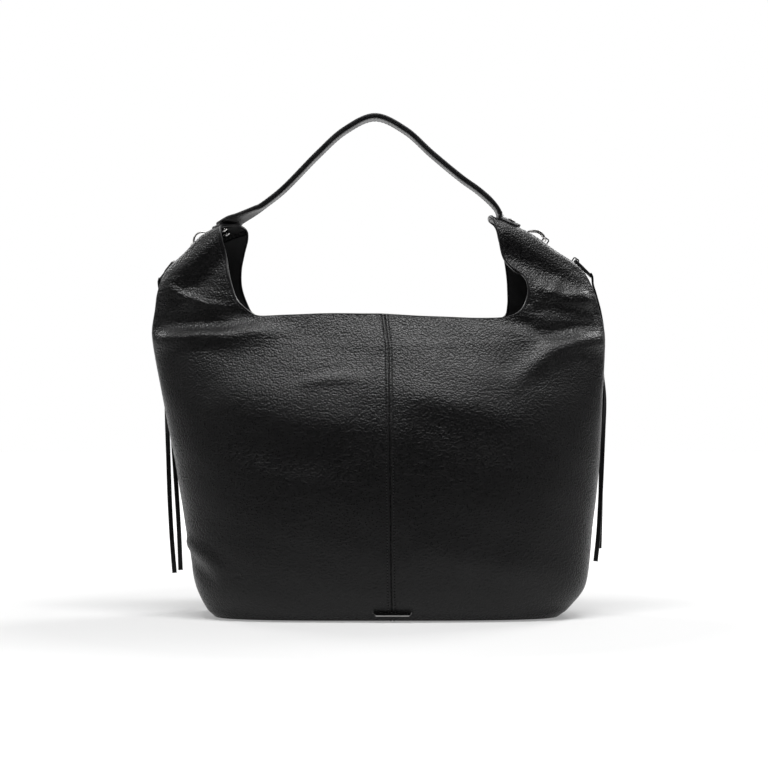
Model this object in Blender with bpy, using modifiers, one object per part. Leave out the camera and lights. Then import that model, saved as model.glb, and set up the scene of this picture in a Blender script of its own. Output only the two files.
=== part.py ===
"""Slouchy hobo bag in pebbled black leather: a soft body with a cut-out mouth and two
raised shoulders, a short riveted strap, an expander zip along each shoulder with a ring
pull and a lace tassel, a lined inside and a stiffened base.

Metres, +Z up, front towards -Y. The origin is on the floor under the middle of the bag.
"""
import math

import bmesh
import bpy
from mathutils import Matrix, Vector

MM = 0.001

# ---- driving dimensions, in metres -------------------------------------------------
LEATHER = 1.4 * MM             # wall of the outer panels
LINING = 0.7 * MM              # cloth lining
FACING = 1.0 * MM              # leather facing inside the mouth
GAP = 0.3 * MM                 # least space left between two touching pieces
CENTRE_SEAM_TOP = 5.3 * MM     # the centre seam drifts sideways as the bag slouches
CENTRE_SEAM_BOTTOM = 12.2 * MM

BASE_THICKNESS = 2.0 * MM
BOARD_THICKNESS = 2.0 * MM
BOARD_MARGIN = 4.0 * MM

STRAP_WIDTH = 25.0 * MM
STRAP_LAYER = 2.2 * MM         # each of the two leather layers of the strap
STRAP_AXIS_HEIGHT = 350.0 * MM  # the line through both strap roots that it folds about
TAB_THICKNESS = 2.8 * MM
TAB_SEAT = 0.5 * MM            # the flat tab stands this far off the crown of the shoulder
PATCH_THICKNESS = 1.2 * MM
PATCH_ANGLES = (-3, 0, 3)      # degrees either side of the shoulder line

RIVET_SPACING = 10.0 * MM
RIVET_SHANK = 1.5 * MM
RIVET_HOLE = 1.9 * MM
RIVET_CAP = 3.8 * MM
RIVET_DOME = 1.3 * MM

ZIP_SLOT = 5.5 * MM            # half the opening between the leather edges
SEAT_REACH = 8.0 * MM          # half the width over which a zip or a strap end lies flat
TAPE_WIDTH = 14.0 * MM
TAPE_THICKNESS = 0.8 * MM
TAPE_DEPTH = 4.2 * MM          # shoulder line down to the face of the tape
CHAIN_WIDTH = 5.2 * MM
CHAIN_HEIGHT = 1.8 * MM
TOOTH_PITCH = 3.2 * MM
TOOTH_LENGTH = 2.0 * MM
TOOTH_THICKNESS = 1.2 * MM
TOOTH_TAPER = 0.15 * MM
CHAIN_END = 2.0 * MM           # the chain starts this far inside the ends of the zip
ZIP_INSET = (4.0 * MM, 2.0 * MM)   # the zip's ends inside those of its slot, upper and lower
UPPER_STATION = 12.0 * MM      # ring pull's slider, from the mouth end of the zip
LOWER_STATION = 5.5 * MM       # tassel's slider, from the low end of the zip
LOOP_DROP = 10.0               # degrees that the tassel's loop hangs below the zip's line
SLIDER_LENGTH = 10.0 * MM
SLIDER_WIDTH = 9.6 * MM
SLIDER_PLATE = 1.0 * MM
SLIDER_FLANGE = 1.2 * MM
BAIL_WIDTH = 2.6 * MM
BAIL_WIRE = 1.1 * MM
BAIL_GAP = Vector((4.0 * MM, 0, 3.2 * MM))   # space under the bail, for the pull
BAIL_HOLE = Vector((1.6 * MM, 0, 3.2 * MM))  # in the slider's own frame
PULL_WIRE = 0.95 * MM
PULL_LENGTH = 17.0 * MM
PULL_WIDTH = 11.0 * MM
PULL_RISE = 4.2 * MM
LOOP_LENGTH = 20.0 * MM
LOOP_WIDTH = 9.0 * MM
LOOP_THICKNESS = 2.0 * MM
LACE_DIAMETER = 3.0 * MM

PLATE_WIDTH = 33.6 * MM
PLATE_HEIGHT = 5.0 * MM
PLATE_THICKNESS = 1.4 * MM
PLATE_MITRE = 3.0 * MM
PLATE_LEVEL = 1

SNAP_RADIUS = 8.5 * MM
SNAP_THICKNESS = 2.4 * MM
SNAP_LEVEL = 9.0

# ---- the shape of the soft body ----------------------------------------------------
# Level rings from the floor up to the crease where the sides are widest: height at the
# front and at the sides, reach to the left and right, half depth, squareness.
RINGS = (
    (0, 0, 144, 158, 54.0, 3.4),
    (7, 7, 151, 167, 61.0, 3.2),
    (28, 28, 161, 182, 68.5, 3.0),
    (75, 75, 169, 188, 74.0, 2.8),
    (130, 130, 178, 194.5, 75.0, 2.6),
    (190, 190, 190, 197.5, 66.0, 2.5),
    (236, 246, 200, 200, 46.0, 2.3),
)
CREASE = len(RINGS) - 1
# The shoulder line at the sides, from above the crease to the mouth end of the zip.
SHOULDER = {
    "right": ((195, 268), (188, 289), (177, 306), (154, 321.5), (131, 337)),
    "left": ((-196, 268), (-191, 287), (-183, 303), (-165.5, 319.5), (-148, 336)),
}
TOP = CREASE + len(SHOULDER["right"]) + 1
ZIP_LOW, ZIP_HIGH = CREASE + 3, CREASE + 5
SLOT_END = 0.12                # levels over which the zip's slot closes at each end
# The edge of the mouth, by the angle of the rib that ends on it: 0 is the middle of the
# front, 90 the right shoulder, 180 the back.
MOUTH = (
    (0, 0, -31, 264.5),
    (25, 50, -32, 262),
    (40, 88, -31, 260.8),
    (50, 112, -30, 262),
    (57, 124, -28.5, 267.5),
    (63, 130, -27.5, 279),
    (68, 130.5, -27, 291),
    (72, 126, -26, 300.5),
    (76, 117, -24, 308),
    (80, 109.5, -20.5, 318),
    (84, 104.5, -16, 334),
    (87, 101, -12.5, 349),
    (90, 98.5, 0, 352),
    (93, 99, 12.5, 350),
    (97, 105, 17, 342),
    (101, 108, 20.5, 330.5),
    (105, 112, 23, 319),
    (109, 115, 26, 301),
    (114, 116, 27, 287),
    (120, 116, 28, 274),
    (127, 113, 29, 264),
    (137, 95, 30, 259.5),
    (155, 50, 31, 258.5),
    (180, 0, 31, 258.5),
    (205, -50, 31, 258.5),
    (220, -92, 30, 260),
    (232, -112, 29, 266),
    (240, -119, 27, 277.5),
    (246, -123, 25.5, 291),
    (252, -123, 23.5, 306),
    (257, -120.5, 20.5, 318.5),
    (262, -117, 17, 333),
    (267, -119, 11.5, 342),
    (270, -128, 0, 345.5),
    (273, -137, -11.5, 342.5),
    (277, -137.5, -16.5, 333),
    (283, -134, -22, 315),
    (289, -130, -26, 295),
    (295, -124, -28, 278),
    (302, -114, -30, 268),
    (310, -104, -31, 263),
    (322, -78, -32, 263.5),
    (335, -48, -32, 264.5),
    (360, 0, -31, 264.5),
)
SHOULDER_FULLNESS = 4          # how fast the roundness of the shoulder fades to the front
COLUMNS = (0, 12, 24, 35, 45, 53, 60, 66, 71, 78, 84, 87)  # ribs that every layer shares

# ---- routes of the strap and the laces, in millimetres ------------------------------
STRAP_ROUTE = (
    (-103, 360), (-84, 375), (-53, 406.5), (-30, 427), (-3, 439),
    (24, 427), (47, 406.5), (73, 385), (87, 375), (96, 367.5),
)
ROOT_ROUTES = {
    "right": ((107.6, 352.6), (104.6, 357.8), (101, 362.4)),
    "left": ((-122.5, 349.6), (-115, 353.4), (-108, 357.1)),
}
TAB_SPAN = {"right": (10.5, 28.0), "left": (2.0, 19.0)}   # from the tip down the shoulder
LACE_ROUTES = {
    "right": (
        ((189, -1.8, 297.4), (191.7, -1.2, 291.5), (193.6, 1, 282.5), (197, 5, 268),
         (200.4, 8, 252), (202.2, 9.5, 236), (201.8, 10, 215), (200.8, 10.5, 190),
         (199.6, 10.5, 160), (198.4, 10.2, 130), (197, 9.8, 100), (195.2, 9, 70), (192.6, 8, 46)),
        ((189, 1.8, 297.4), (191.5, 3, 291.5), (193.2, 6.5, 282.5), (196.2, 11.5, 268),
         (199.2, 15, 252), (200.9, 16, 236), (200.6, 16.5, 215), (199.8, 16.5, 190),
         (198.9, 16.3, 160), (198.3, 16, 130), (197.8, 15.5, 100), (197.2, 15, 75), (196.6, 14.5, 57)),
    ),
    "left": (
        ((-194.2, -1.8, 293), (-195.8, -0.5, 287), (-196.6, 3, 279), (-197.2, 8.5, 266),
         (-197.5, 13, 251), (-194.6, 16, 236), (-191.8, 17.5, 215), (-189.6, 18, 190),
         (-188.2, 18, 160), (-187.2, 18, 130), (-186.2, 18, 100), (-184.4, 17.5, 67), (-181.8, 17, 35)),
        ((-193.1, 1.5, 291.8), (-194.9, 3.6, 286), (-195.7, 8, 279), (-195.4, 14, 266),
         (-194.6, 19, 251), (-191.6, 22, 236), (-188.8, 23.5, 215), (-186.4, 24, 190),
         (-184.2, 24, 160), (-182.2, 24, 130), (-180.2, 24, 100), (-178.4, 23.5, 70), (-177, 23, 37)),
    ),
}
LACE_STEP = 13.0 * MM


# ---- materials ---------------------------------------------------------------------
def material(name, colour, roughness, metallic=0.0):
    made = bpy.data.materials.new(name)
    made.use_nodes = True
    shader = made.node_tree.nodes["Principled BSDF"]
    shader.inputs["Base Color"].default_value = (*colour, 1.0)
    shader.inputs["Roughness"].default_value = roughness
    shader.inputs["Metallic"].default_value = metallic
    made.diffuse_color = (*colour, 1.0)
    return made


FINISH = {
    "leather": ((0.012, 0.012, 0.013), 0.5, 0.0),
    "smooth_leather": ((0.009, 0.009, 0.010), 0.42, 0.0),
    "lining": ((0.030, 0.028, 0.028), 0.9, 0.0),
    "board": ((0.25, 0.20, 0.14), 0.9, 0.0),
    "metal": ((0.62, 0.62, 0.63), 0.25, 1.0),
    "tape": ((0.010, 0.010, 0.011), 0.85, 0.0),
}


# ---- small geometry ----------------------------------------------------------------
def smooth_value(keys, where):
    """Value at `where` of a smooth curve through rows (position, number, ...)."""
    last = len(keys) - 1
    i = 0
    while i < last - 1 and where > keys[i + 1][0]:
        i += 1
    before, start = keys[max(i - 1, 0)], keys[i]
    end, after = keys[i + 1], keys[min(i + 2, last)]
    span = end[0] - start[0]
    f = (where - start[0]) / span
    out = []
    for k in range(1, len(start)):
        slope_in = (end[k] - before[k]) / (end[0] - before[0]) * span
        slope_out = (after[k] - start[k]) / (after[0] - start[0]) * span
        out.append(
            (2 * f**3 - 3 * f**2 + 1) * start[k] + (f**3 - 2 * f**2 + f) * slope_in
            + (3 * f**2 - 2 * f**3) * end[k] + (f**3 - f**2) * slope_out
        )
    return out


def mouth_point(angle):
    return Vector(smooth_value(MOUTH, angle % 360)) * MM


def ring_point(level, angle):
    """A point on one of the level rings, a rounded rectangle that is fuller on one side."""
    front_z, side_z, left, right, depth, squareness = RINGS[level]
    across, along = math.sin(math.radians(angle)), math.cos(math.radians(angle))
    reach = right if across > 0 else left
    fill = (abs(across) ** squareness + abs(along) ** squareness) ** (-1 / squareness)
    height = front_z + (side_z - front_z) * across**2
    return Vector((reach * fill * across, -depth * fill * along, height)) * MM


def shoulder_point(level, angle):
    """A point between the crease and the mouth, rounded out over the shoulder."""
    side = "right" if math.sin(math.radians(angle)) > 0 else "left"
    ridge = 90 if side == "right" else 270
    part = (level - CREASE) / (TOP - CREASE)
    straight = ring_point(CREASE, angle).lerp(mouth_point(angle), part)
    at_ridge = ring_point(CREASE, ridge).lerp(mouth_point(ridge), part)
    x, z = SHOULDER[side][level - CREASE - 1]
    fullness = math.sin(math.radians(angle)) ** SHOULDER_FULLNESS
    return straight + (Vector((x, 0, z)) * MM - at_ridge) * fullness


def level_point(level, angle):
    if level <= CREASE:
        return ring_point(level, angle)
    if level >= TOP:
        return mouth_point(angle)
    return shoulder_point(level, angle)


def body_point(angle, height):
    """The outer face of the bag: `angle` goes round it and `height` counts the levels."""
    low = min(int(height), TOP - 1)
    rows = [(k, *level_point(min(max(k, 0), TOP), angle)) for k in range(low - 1, low + 3)]
    rows[0] = (low - 1, *level_point(max(low - 1, 0), angle))
    if low == 0:
        rows = rows[1:]
    if low + 2 > TOP:
        rows = rows[:-1]
    return Vector(smooth_value(rows, height))


def body_normal(angle, height):
    step = 0.02
    low, high = max(height - step, 0), min(height + step, TOP)
    up = body_point(angle, high) - body_point(angle, low)
    around = body_point(angle + 0.4, height) - body_point(angle - 0.4, height)
    return around.cross(up).normalized()


def angle_where(height, low, high, wanted, axis):
    """The angle between low and high at which the body's coordinate on `axis` is wanted."""
    rising = body_point(high, height)[axis] > body_point(low, height)[axis]
    for _ in range(40):
        middle = (low + high) / 2
        if (body_point(middle, height)[axis] > wanted) == rising:
            high = middle
        else:
            low = middle
    return (low + high) / 2


# ---- object makers -----------------------------------------------------------------
def clear_scene():
    for thing in list(bpy.data.objects):
        bpy.data.objects.remove(thing)


def collection(name):
    made = bpy.data.collections.new(name)
    bpy.context.scene.collection.children.link(made)
    return made


clear_scene()
BAG = collection("hobo_bag")
CUTTERS = collection("cutters")
MATERIALS = {name: material(name, *values) for name, values in FINISH.items()}


def add_object(name, mesh, finish, parent=None, smooth_angle=30):
    thing = bpy.data.objects.new(name, mesh)
    BAG.objects.link(thing)
    mesh.materials.clear()
    mesh.materials.append(MATERIALS[finish])
    mesh.shade_smooth()
    mesh.set_sharp_from_angle(angle=math.radians(smooth_angle))
    if parent:
        thing.parent = parent
    return thing


def mesh_from(name, points, faces):
    mesh = bpy.data.meshes.new(name)
    mesh.from_pydata([tuple(p) for p in points], [], faces)
    work = bmesh.new()
    work.from_mesh(mesh)
    bmesh.ops.recalc_face_normals(work, faces=work.faces)
    work.to_mesh(mesh)
    work.free()
    return mesh


def joint_empty(name, place, parent=None):
    """An empty on a joint's axis, which the moving pieces hang from."""
    empty = bpy.data.objects.new(name, None)
    empty.location = place
    BAG.objects.link(empty)
    if parent:
        empty.parent = parent
        empty.matrix_parent_inverse = Matrix.Translation(parent.matrix_world.translation).inverted()
    bpy.context.view_layer.update()
    return empty


def hang(thing, empty):
    """Parents a piece to an empty and keeps it where it is."""
    thing.parent = empty
    thing.matrix_parent_inverse = empty.matrix_world.inverted()


def closed_wall(outer, inner, outward):
    """Points and faces of a wall between two equal grids of points.

    `outward` says for each column whether the next one is further from the middle of the
    bag. The two triangles of each cell split along the same way up and out in every layer,
    so that nested layers stay parallel.
    """
    rows, columns = len(outer), len(outer[0])
    points = [p for row in outer for p in row] + [p for row in inner for p in row]
    count = rows * columns

    def at(row, column, layer=0):
        return layer * count + row * columns + column

    faces = []
    for row in range(rows - 1):
        for column in range(columns - 1):
            a, b = at(row, column), at(row, column + 1)
            c, d = at(row + 1, column + 1), at(row + 1, column)
            cell = [[a, b, c], [a, c, d]] if outward[column] else [[a, b, d], [b, c, d]]
            faces += cell
            faces += [[k + count for k in reversed(triangle)] for triangle in cell]
    for row in range(rows - 1):
        for column in (0, columns - 1):
            faces.append([at(row, column), at(row + 1, column), at(row + 1, column, 1), at(row, column, 1)])
    for column in range(columns - 1):
        for row in (0, rows - 1):
            faces.append([at(row, column), at(row, column + 1), at(row, column + 1, 1), at(row, column, 1)])
    return points, faces


def body_wall(name, finish, angles_at, heights_at, depth, thickness):
    """A layer of the body: rows of points on the loft, `depth` under its outer face."""
    outer, inner = [], []
    for heights, angles in zip(heights_at, angles_at):
        face = [(body_point(a, h), body_normal(a, h)) for a, h in zip(angles, heights)]
        outer.append([p - n * depth for p, n in face])
        inner.append([p - n * (depth + thickness) for p, n in face])
    share = [abs(math.sin(math.radians(angle))) for angle in angles_at[0]]
    outward = [b > a for a, b in zip(share, share[1:])]
    return add_object(name, mesh_from(name, *closed_wall(outer, inner, outward)), finish)


# ---- outer panels ------------------------------------------------------------------
def seam_x(height):
    """Where the centre seam runs: it leans from the bottom to the top of the bag."""
    return CENTRE_SEAM_BOTTOM + (CENTRE_SEAM_TOP - CENTRE_SEAM_BOTTOM) * height / TOP


def ridge_clearance(height, at_zip):
    """Half the space left along the shoulder line, wide where the zip is let in."""
    return at_zip if ZIP_LOW <= height <= ZIP_HIGH else GAP / 2


def quarter_angles(height, side, face, at_zip, columns, centre_gap):
    """Angles of one row, from the centre seam to the side, on one quarter of the bag."""
    middle = 0 if face == "front" else 180
    turn = 1 if (side == "right") == (face == "front") else -1
    outward = 1 if side == "right" else -1
    edge_x = seam_x(height) + outward * centre_gap
    start = angle_where(height, middle - 20, middle + 20, edge_x, 0)
    clearance = ridge_clearance(height, at_zip)
    wanted = -clearance if face == "front" else clearance
    ridge = middle + turn * 90
    end = angle_where(height, ridge - turn * 40, ridge, wanted, 1)
    inner = [middle + turn * column for column in columns[1:]]
    return [start, *inner, end]


def outer_panels():
    rows = sorted([*range(TOP + 1), ZIP_LOW - SLOT_END, ZIP_HIGH + SLOT_END])
    for face in ("front", "back"):
        for side in ("left", "right"):
            angles = [quarter_angles(h, side, face, ZIP_SLOT, COLUMNS, GAP / 2) for h in rows]
            heights = [[h] * len(angles[0]) for h in rows]
            name = f"{face}_panel_{side}"
            panel = body_wall(name, "leather", angles, heights, 0, LEATHER)
            rivet = RIVET_HOLES[side, face]
            cut = panel.modifiers.new("rivet_hole", "BOOLEAN")
            cut.operation = "DIFFERENCE"
            cut.object = rivet


# ---- base ---------------------------------------------------------------------------
def base_plate(name, finish, inset, level_z, bottom, thickness):
    """A flat plate in the footprint of the bag, `inset` from its outer face."""
    outline = bpy.data.curves.new(name, "CURVE")
    outline.dimensions = "2D"
    outline.fill_mode = "BOTH"
    outline.extrude = thickness / 2
    count = 40
    spline = outline.splines.new("POLY")
    spline.points.add(count - 1)
    for k in range(count):
        angle = 360 * k / count
        low = body_point(angle, level_z)
        out = Vector((math.copysign(1, low.x) if abs(low.x) > 1e-6 else 0, 0, 0))
        flat = Vector((low.x, low.y, 0))
        normal = body_normal(angle, level_z)
        away = Vector((normal.x, normal.y, 0)).normalized() if normal.xy.length > 1e-6 else out
        spline.points[k].co = (*(flat - away * inset).xy, 0, 1)
    spline.use_cyclic_u = True
    return curve_to_object(name, outline, finish, Matrix.Translation((0, 0, bottom + thickness / 2)))


def curve_to_object(name, curve, finish, place, parent=None):
    """Makes a mesh of a curve, with its caps welded, at `place`."""
    holder = bpy.data.objects.new(name + "_curve", curve)
    bpy.context.scene.collection.objects.link(holder)
    bpy.context.view_layer.update()
    evaluated = holder.evaluated_get(bpy.context.evaluated_depsgraph_get())
    mesh = bpy.data.meshes.new_from_object(evaluated)
    mesh.name = name
    bpy.data.objects.remove(holder)
    work = bmesh.new()
    work.from_mesh(mesh)
    bmesh.ops.remove_doubles(work, verts=work.verts, dist=1e-6)
    bmesh.ops.recalc_face_normals(work, faces=work.faces)
    work.to_mesh(mesh)
    work.free()
    thing = add_object(name, mesh, finish)
    thing.matrix_world = place
    if parent:
        hang(thing, parent)
    return thing


def base():
    base_inset = LEATHER * 0.75 + GAP
    base_plate("base_panel", "leather", base_inset, 0, 0, BASE_THICKNESS)
    board_bottom = BASE_THICKNESS + GAP
    base_plate("base_board", "board", BOARD_MARGIN, 0, board_bottom, BOARD_THICKNESS)
    lining_bottom = board_bottom + BOARD_THICKNESS + GAP
    base_plate("lining_base", "lining", LEATHER + LINING + 3 * GAP, 0.4, lining_bottom, LINING)


# ---- inside ------------------------------------------------------------------------
LINING_TOP = 8                 # level of the seam between the lining and the facing
LINING_SEAM = 0.1              # levels left between the two


def linings():
    """The cloth lining up to the seam, and the leather facing from there to the mouth."""
    depth = LEATHER + GAP
    for face in ("front", "back"):
        rows = list(range(1, LINING_TOP + 1))
        angles = [full_angles(row, face, GAP, COLUMNS) for row in rows]
        heights = [[row] * len(angles[0]) for row in rows]
        body_wall(f"lining_{face}", "lining", angles, heights, depth, LINING)
        rows = [LINING_TOP + LINING_SEAM, *range(LINING_TOP + 1, TOP + 1)]
        middle = 0 if face == "front" else 180
        reach = COLUMNS[1:-1]
        angles = [*[middle - c for c in reversed(reach)], middle, *[middle + c for c in reach]]
        heights = [[row] * len(angles) for row in rows]
        body_wall(
            f"mouth_facing_{face}", "smooth_leather", [angles] * len(rows), heights, depth, FACING
        )


def full_angles(height, face, clearance, columns):
    """Angles of one row of a layer that runs from shoulder to shoulder."""
    middle = 0 if face == "front" else 180
    wanted = -clearance if face == "front" else clearance
    ends = [
        angle_where(height, middle + turn * 50, middle + turn * 90, wanted, 1) for turn in (-1, 1)
    ]
    half = columns[1:]
    return [ends[0], *[middle - c for c in reversed(half)], middle, *[middle + c for c in half], ends[1]]


def magnetic_snap():
    """Two round snap halves, facing each other across the middle of the mouth."""
    back = LEATHER + GAP + FACING + GAP
    for face, angle in (("front", 0), ("back", 180)):
        name = "snap_socket_front" if face == "front" else "snap_stud_back"
        normal = body_normal(angle, SNAP_LEVEL)
        centre = body_point(angle, SNAP_LEVEL) - normal * (back + SNAP_THICKNESS / 2)
        profile = [(0, 0.5), (0.55, 0.5), (0.62, 0.3), (0.94, 0.3), (1, 0.1), (1, -0.5), (0, -0.5)]
        points = [(r * SNAP_RADIUS, z * SNAP_THICKNESS) for r, z in profile]
        turned(name, points, "metal", frame_at(centre, -normal, Vector((1, 0, 0))), steps=20)


def frame_at(place, normal, along):
    """A matrix whose Z is `normal` and whose X is close to `along`."""
    z = normal.normalized()
    y = z.cross(along).normalized()
    x = y.cross(z)
    made = Matrix((x, y, z)).transposed().to_4x4()
    made.translation = place
    return made


def turned(name, profile, finish, place, steps=14, parent=None):
    """A turned piece: a profile at +X, top to bottom, with a Screw modifier."""
    mesh = bpy.data.meshes.new(name)
    points = [(r, 0, z) for r, z in profile]
    mesh.from_pydata(points, [(k, k + 1) for k in range(len(points) - 1)], [])
    thing = add_object(name, mesh, finish)
    screw = thing.modifiers.new("turn", "SCREW")
    screw.steps = steps
    screw.render_steps = steps
    screw.use_merge_vertices = True
    screw.merge_threshold = 0.00002
    thing.matrix_world = place
    if parent:
        hang(thing, parent)
    return thing


# ---- name plate --------------------------------------------------------------------
def name_plate():
    """A bare mitred plate at the foot of the centre seam, over the front's first bend."""
    angle = angle_where(PLATE_LEVEL, -20, 20, CENTRE_SEAM_BOTTOM, 0)
    low, high = body_point(angle, PLATE_LEVEL / 2), body_point(angle, PLATE_LEVEL * 1.15)
    side = body_point(angle + 3, PLATE_LEVEL) - body_point(angle - 3, PLATE_LEVEL)
    normal = side.cross(high - low).normalized()
    centre = body_point(angle, PLATE_LEVEL) + normal * (2 * GAP + PLATE_THICKNESS / 2)
    half = PLATE_WIDTH / 2
    outline = [
        (-half, PLATE_HEIGHT / 2), (half, PLATE_HEIGHT / 2),
        (half - PLATE_MITRE, -PLATE_HEIGHT / 2), (-half + PLATE_MITRE, -PLATE_HEIGHT / 2),
    ]
    extruded("name_plate", outline, PLATE_THICKNESS, "metal", frame_at(centre, normal, side))


def extruded(name, outline, thickness, finish, place, parent=None):
    """A flat piece: an outline in its own XY plane, `thickness` deep about that plane."""
    work = bmesh.new()
    face = work.faces.new([work.verts.new((x, y, -thickness / 2)) for x, y in outline])
    sweep = bmesh.ops.extrude_face_region(work, geom=[face])
    lifted = [item for item in sweep["geom"] if isinstance(item, bmesh.types.BMVert)]
    bmesh.ops.translate(work, verts=lifted, vec=(0, 0, thickness))
    bmesh.ops.recalc_face_normals(work, faces=work.faces)
    mesh = bpy.data.meshes.new(name)
    work.to_mesh(mesh)
    work.free()
    thing = add_object(name, mesh, finish)
    thing.matrix_world = place
    if parent:
        hang(thing, parent)
    return thing


def flat_outline(name, outlines, thickness):
    curve = bpy.data.curves.new(name, "CURVE")
    curve.dimensions = "2D"
    curve.fill_mode = "BOTH"
    curve.extrude = thickness / 2
    for outline in outlines:
        spline = curve.splines.new("POLY")
        spline.points.add(len(outline) - 1)
        for point, (x, y) in zip(spline.points, outline):
            point.co = (x, y, 0, 1)
        spline.use_cyclic_u = True
    return curve


# ---- strap -------------------------------------------------------------------------
def ridge_frame(side, high, low):
    """A flat seat on the shoulder between two levels of its ridge.

    Gives its upper point, the way down it, the way across it, its normal and its length.
    """
    ridge = 90 if side == "right" else 270
    turn = 1 if side == "right" else -1
    top, foot = body_point(ridge, high), body_point(ridge, low)
    down = (foot - top).normalized()
    height, reach = (high + low) / 2, SEAT_REACH
    front = angle_where(height, ridge - turn * 40, ridge, -reach, 1)
    back = angle_where(height, ridge, ridge + turn * 40, reach, 1)
    across = body_point(back, height) - body_point(front, height)
    across = (across - down * across.dot(down)).normalized()
    normal = down.cross(across)
    if normal.z < 0:
        normal = -normal
    return top, down, across, normal, (foot - top).length


def shoulder_frame(side):
    return ridge_frame(side, TOP, TOP - 1)[:4]


def tab_centre(side):
    tip, down, _, _ = shoulder_frame(side)
    start, end = TAB_SPAN[side]
    return tip + down * (start + end) / 2 * MM


def rivet_place(side, face):
    _, down, across, normal = shoulder_frame(side)
    turn = -1 if face == "front" else 1
    return frame_at(tab_centre(side) + across * turn * RIVET_SPACING / 2, normal, down)


def rivet_cutters():
    """Cylinders that cut the rivet holes in the panels, the tabs and the patches."""
    holes = {}
    for side in ("left", "right"):
        for face in ("front", "back"):
            work = bmesh.new()
            bmesh.ops.create_cone(
                work, cap_ends=True, segments=12, radius1=RIVET_HOLE, radius2=RIVET_HOLE, depth=20 * MM
            )
            mesh = bpy.data.meshes.new(f"rivet_cutter_{face}_{side}")
            work.to_mesh(mesh)
            work.free()
            cutter = bpy.data.objects.new(mesh.name, mesh)
            cutter.matrix_world = rivet_place(side, face)
            cutter.hide_render = True
            cutter.display_type = "WIRE"
            CUTTERS.objects.link(cutter)
            holes[side, face] = cutter
    return holes


def cut_with(thing, cutters):
    for number, cutter in enumerate(cutters):
        cut = thing.modifiers.new(f"hole_{number}", "BOOLEAN")
        cut.operation = "DIFFERENCE"
        cut.object = cutter


def strap_ends():
    """The riveted ends of the strap, the patches under them and the rivets."""
    for side in ("left", "right"):
        _, down, across, normal = shoulder_frame(side)
        start, end = TAB_SPAN[side]
        lift = TAB_SEAT + TAB_THICKNESS / 2
        place = frame_at(tab_centre(side) + normal * lift, normal, down)
        length, half = (end - start) * MM, STRAP_WIDTH / 2
        corner = 4 * MM
        outline = [(-length / 2, -half), (length / 2 - corner, -half), (length / 2, -half + corner),
                   (length / 2, half - corner), (length / 2 - corner, half), (-length / 2, half)]
        tab = extruded(f"strap_tab_{side}", outline, TAB_THICKNESS, "smooth_leather", place)
        cut_with(tab, [RIVET_HOLES[side, face] for face in ("front", "back")])
        patch(side)
        for face in ("front", "back"):
            rivet(side, face)


def patch(side):
    """The reinforcement inside the shoulder, which follows the panels over the top."""
    ridge = 90 if side == "right" else 270
    angles = [ridge + turn for turn in PATCH_ANGLES]
    rows = [ZIP_HIGH + 0.2, ZIP_HIGH + 0.6, TOP - 0.03]
    made = body_wall(
        f"strap_patch_{side}", "smooth_leather", [angles] * len(rows),
        [[row] * len(angles) for row in rows], LEATHER + GAP, PATCH_THICKNESS,
    )
    cut_with(made, [RIVET_HOLES[side, face] for face in ("front", "back")])


def patch_depth(side, face):
    """How far the patch reaches below the strap's seat under the outer rim of a rivet."""
    tip, down, _, normal = shoulder_frame(side)
    seat = frame_at(tip, normal, down).inverted()
    ridge = 90 if side == "right" else 270
    reach = RIVET_SPACING / 2 + RIVET_CAP
    to_front = (side == "right") == (face == "front")
    low, high = (ridge - 40, ridge) if to_front else (ridge, ridge + 40)
    wanted = -reach if face == "front" else reach
    depths = []
    for level in (ZIP_HIGH + 0.3, TOP):
        angle = angle_where(level, low, high, wanted, 1)
        under = body_normal(angle, level) * (LEATHER + GAP + PATCH_THICKNESS)
        depths.append(-(seat @ (body_point(angle, level) - under)).z)
    return max(depths)


def rivet(side, face):
    top = TAB_SEAT + TAB_THICKNESS + GAP
    bottom = -patch_depth(side, face) - 2 * GAP
    rim = RIVET_DOME / 2
    profile = [
        (0, top + RIVET_DOME), (RIVET_CAP * 0.6, top + RIVET_DOME * 0.85), (RIVET_CAP, top + rim * 0.5),
        (RIVET_CAP, top), (RIVET_SHANK, top), (RIVET_SHANK, bottom), (RIVET_CAP * 0.9, bottom),
        (RIVET_CAP * 0.9, bottom - rim * 0.5), (RIVET_CAP * 0.5, bottom - RIVET_DOME * 0.8),
        (0, bottom - RIVET_DOME),
    ]
    turned(f"rivet_{face}_{side}", profile, "metal", rivet_place(side, face), steps=12)


def strap():
    """The arch of the strap: two leather layers that fold about the line of their roots."""
    axis = joint_empty("strap_axis", (0, 0, STRAP_AXIS_HEIGHT))
    keys = [(k, x, z) for k, (x, z) in enumerate(STRAP_ROUTE)]
    count = 27
    last = len(keys) - 1
    line = [Vector(smooth_value(keys, last * k / count)) * MM for k in range(count + 1)]
    normals = []
    for k, _ in enumerate(line):
        along = line[min(k + 1, count)] - line[max(k - 1, 0)]
        normals.append(Vector((-along.y, along.x)).normalized())
    for name, low, high in (
        ("strap_outer", GAP / 2, GAP / 2 + STRAP_LAYER),
        ("strap_backing", -GAP / 2 - STRAP_LAYER, -GAP / 2),
    ):
        upper = [tuple(p + n * high) for p, n in zip(line, normals)]
        lower = [tuple(p + n * low) for p, n in zip(line, normals)]
        place = Matrix.Rotation(math.radians(90), 4, "X")
        extruded(name, upper + lower[::-1], STRAP_WIDTH, "smooth_leather", place, axis)
    for side in ("left", "right"):
        end = line[0] if side == "left" else line[-1]
        before = line[1] if side == "left" else line[-2]
        strap_root(side, Vector((end.x, 0, end.y)), Vector((before.x, 0, before.y)), axis)


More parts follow.
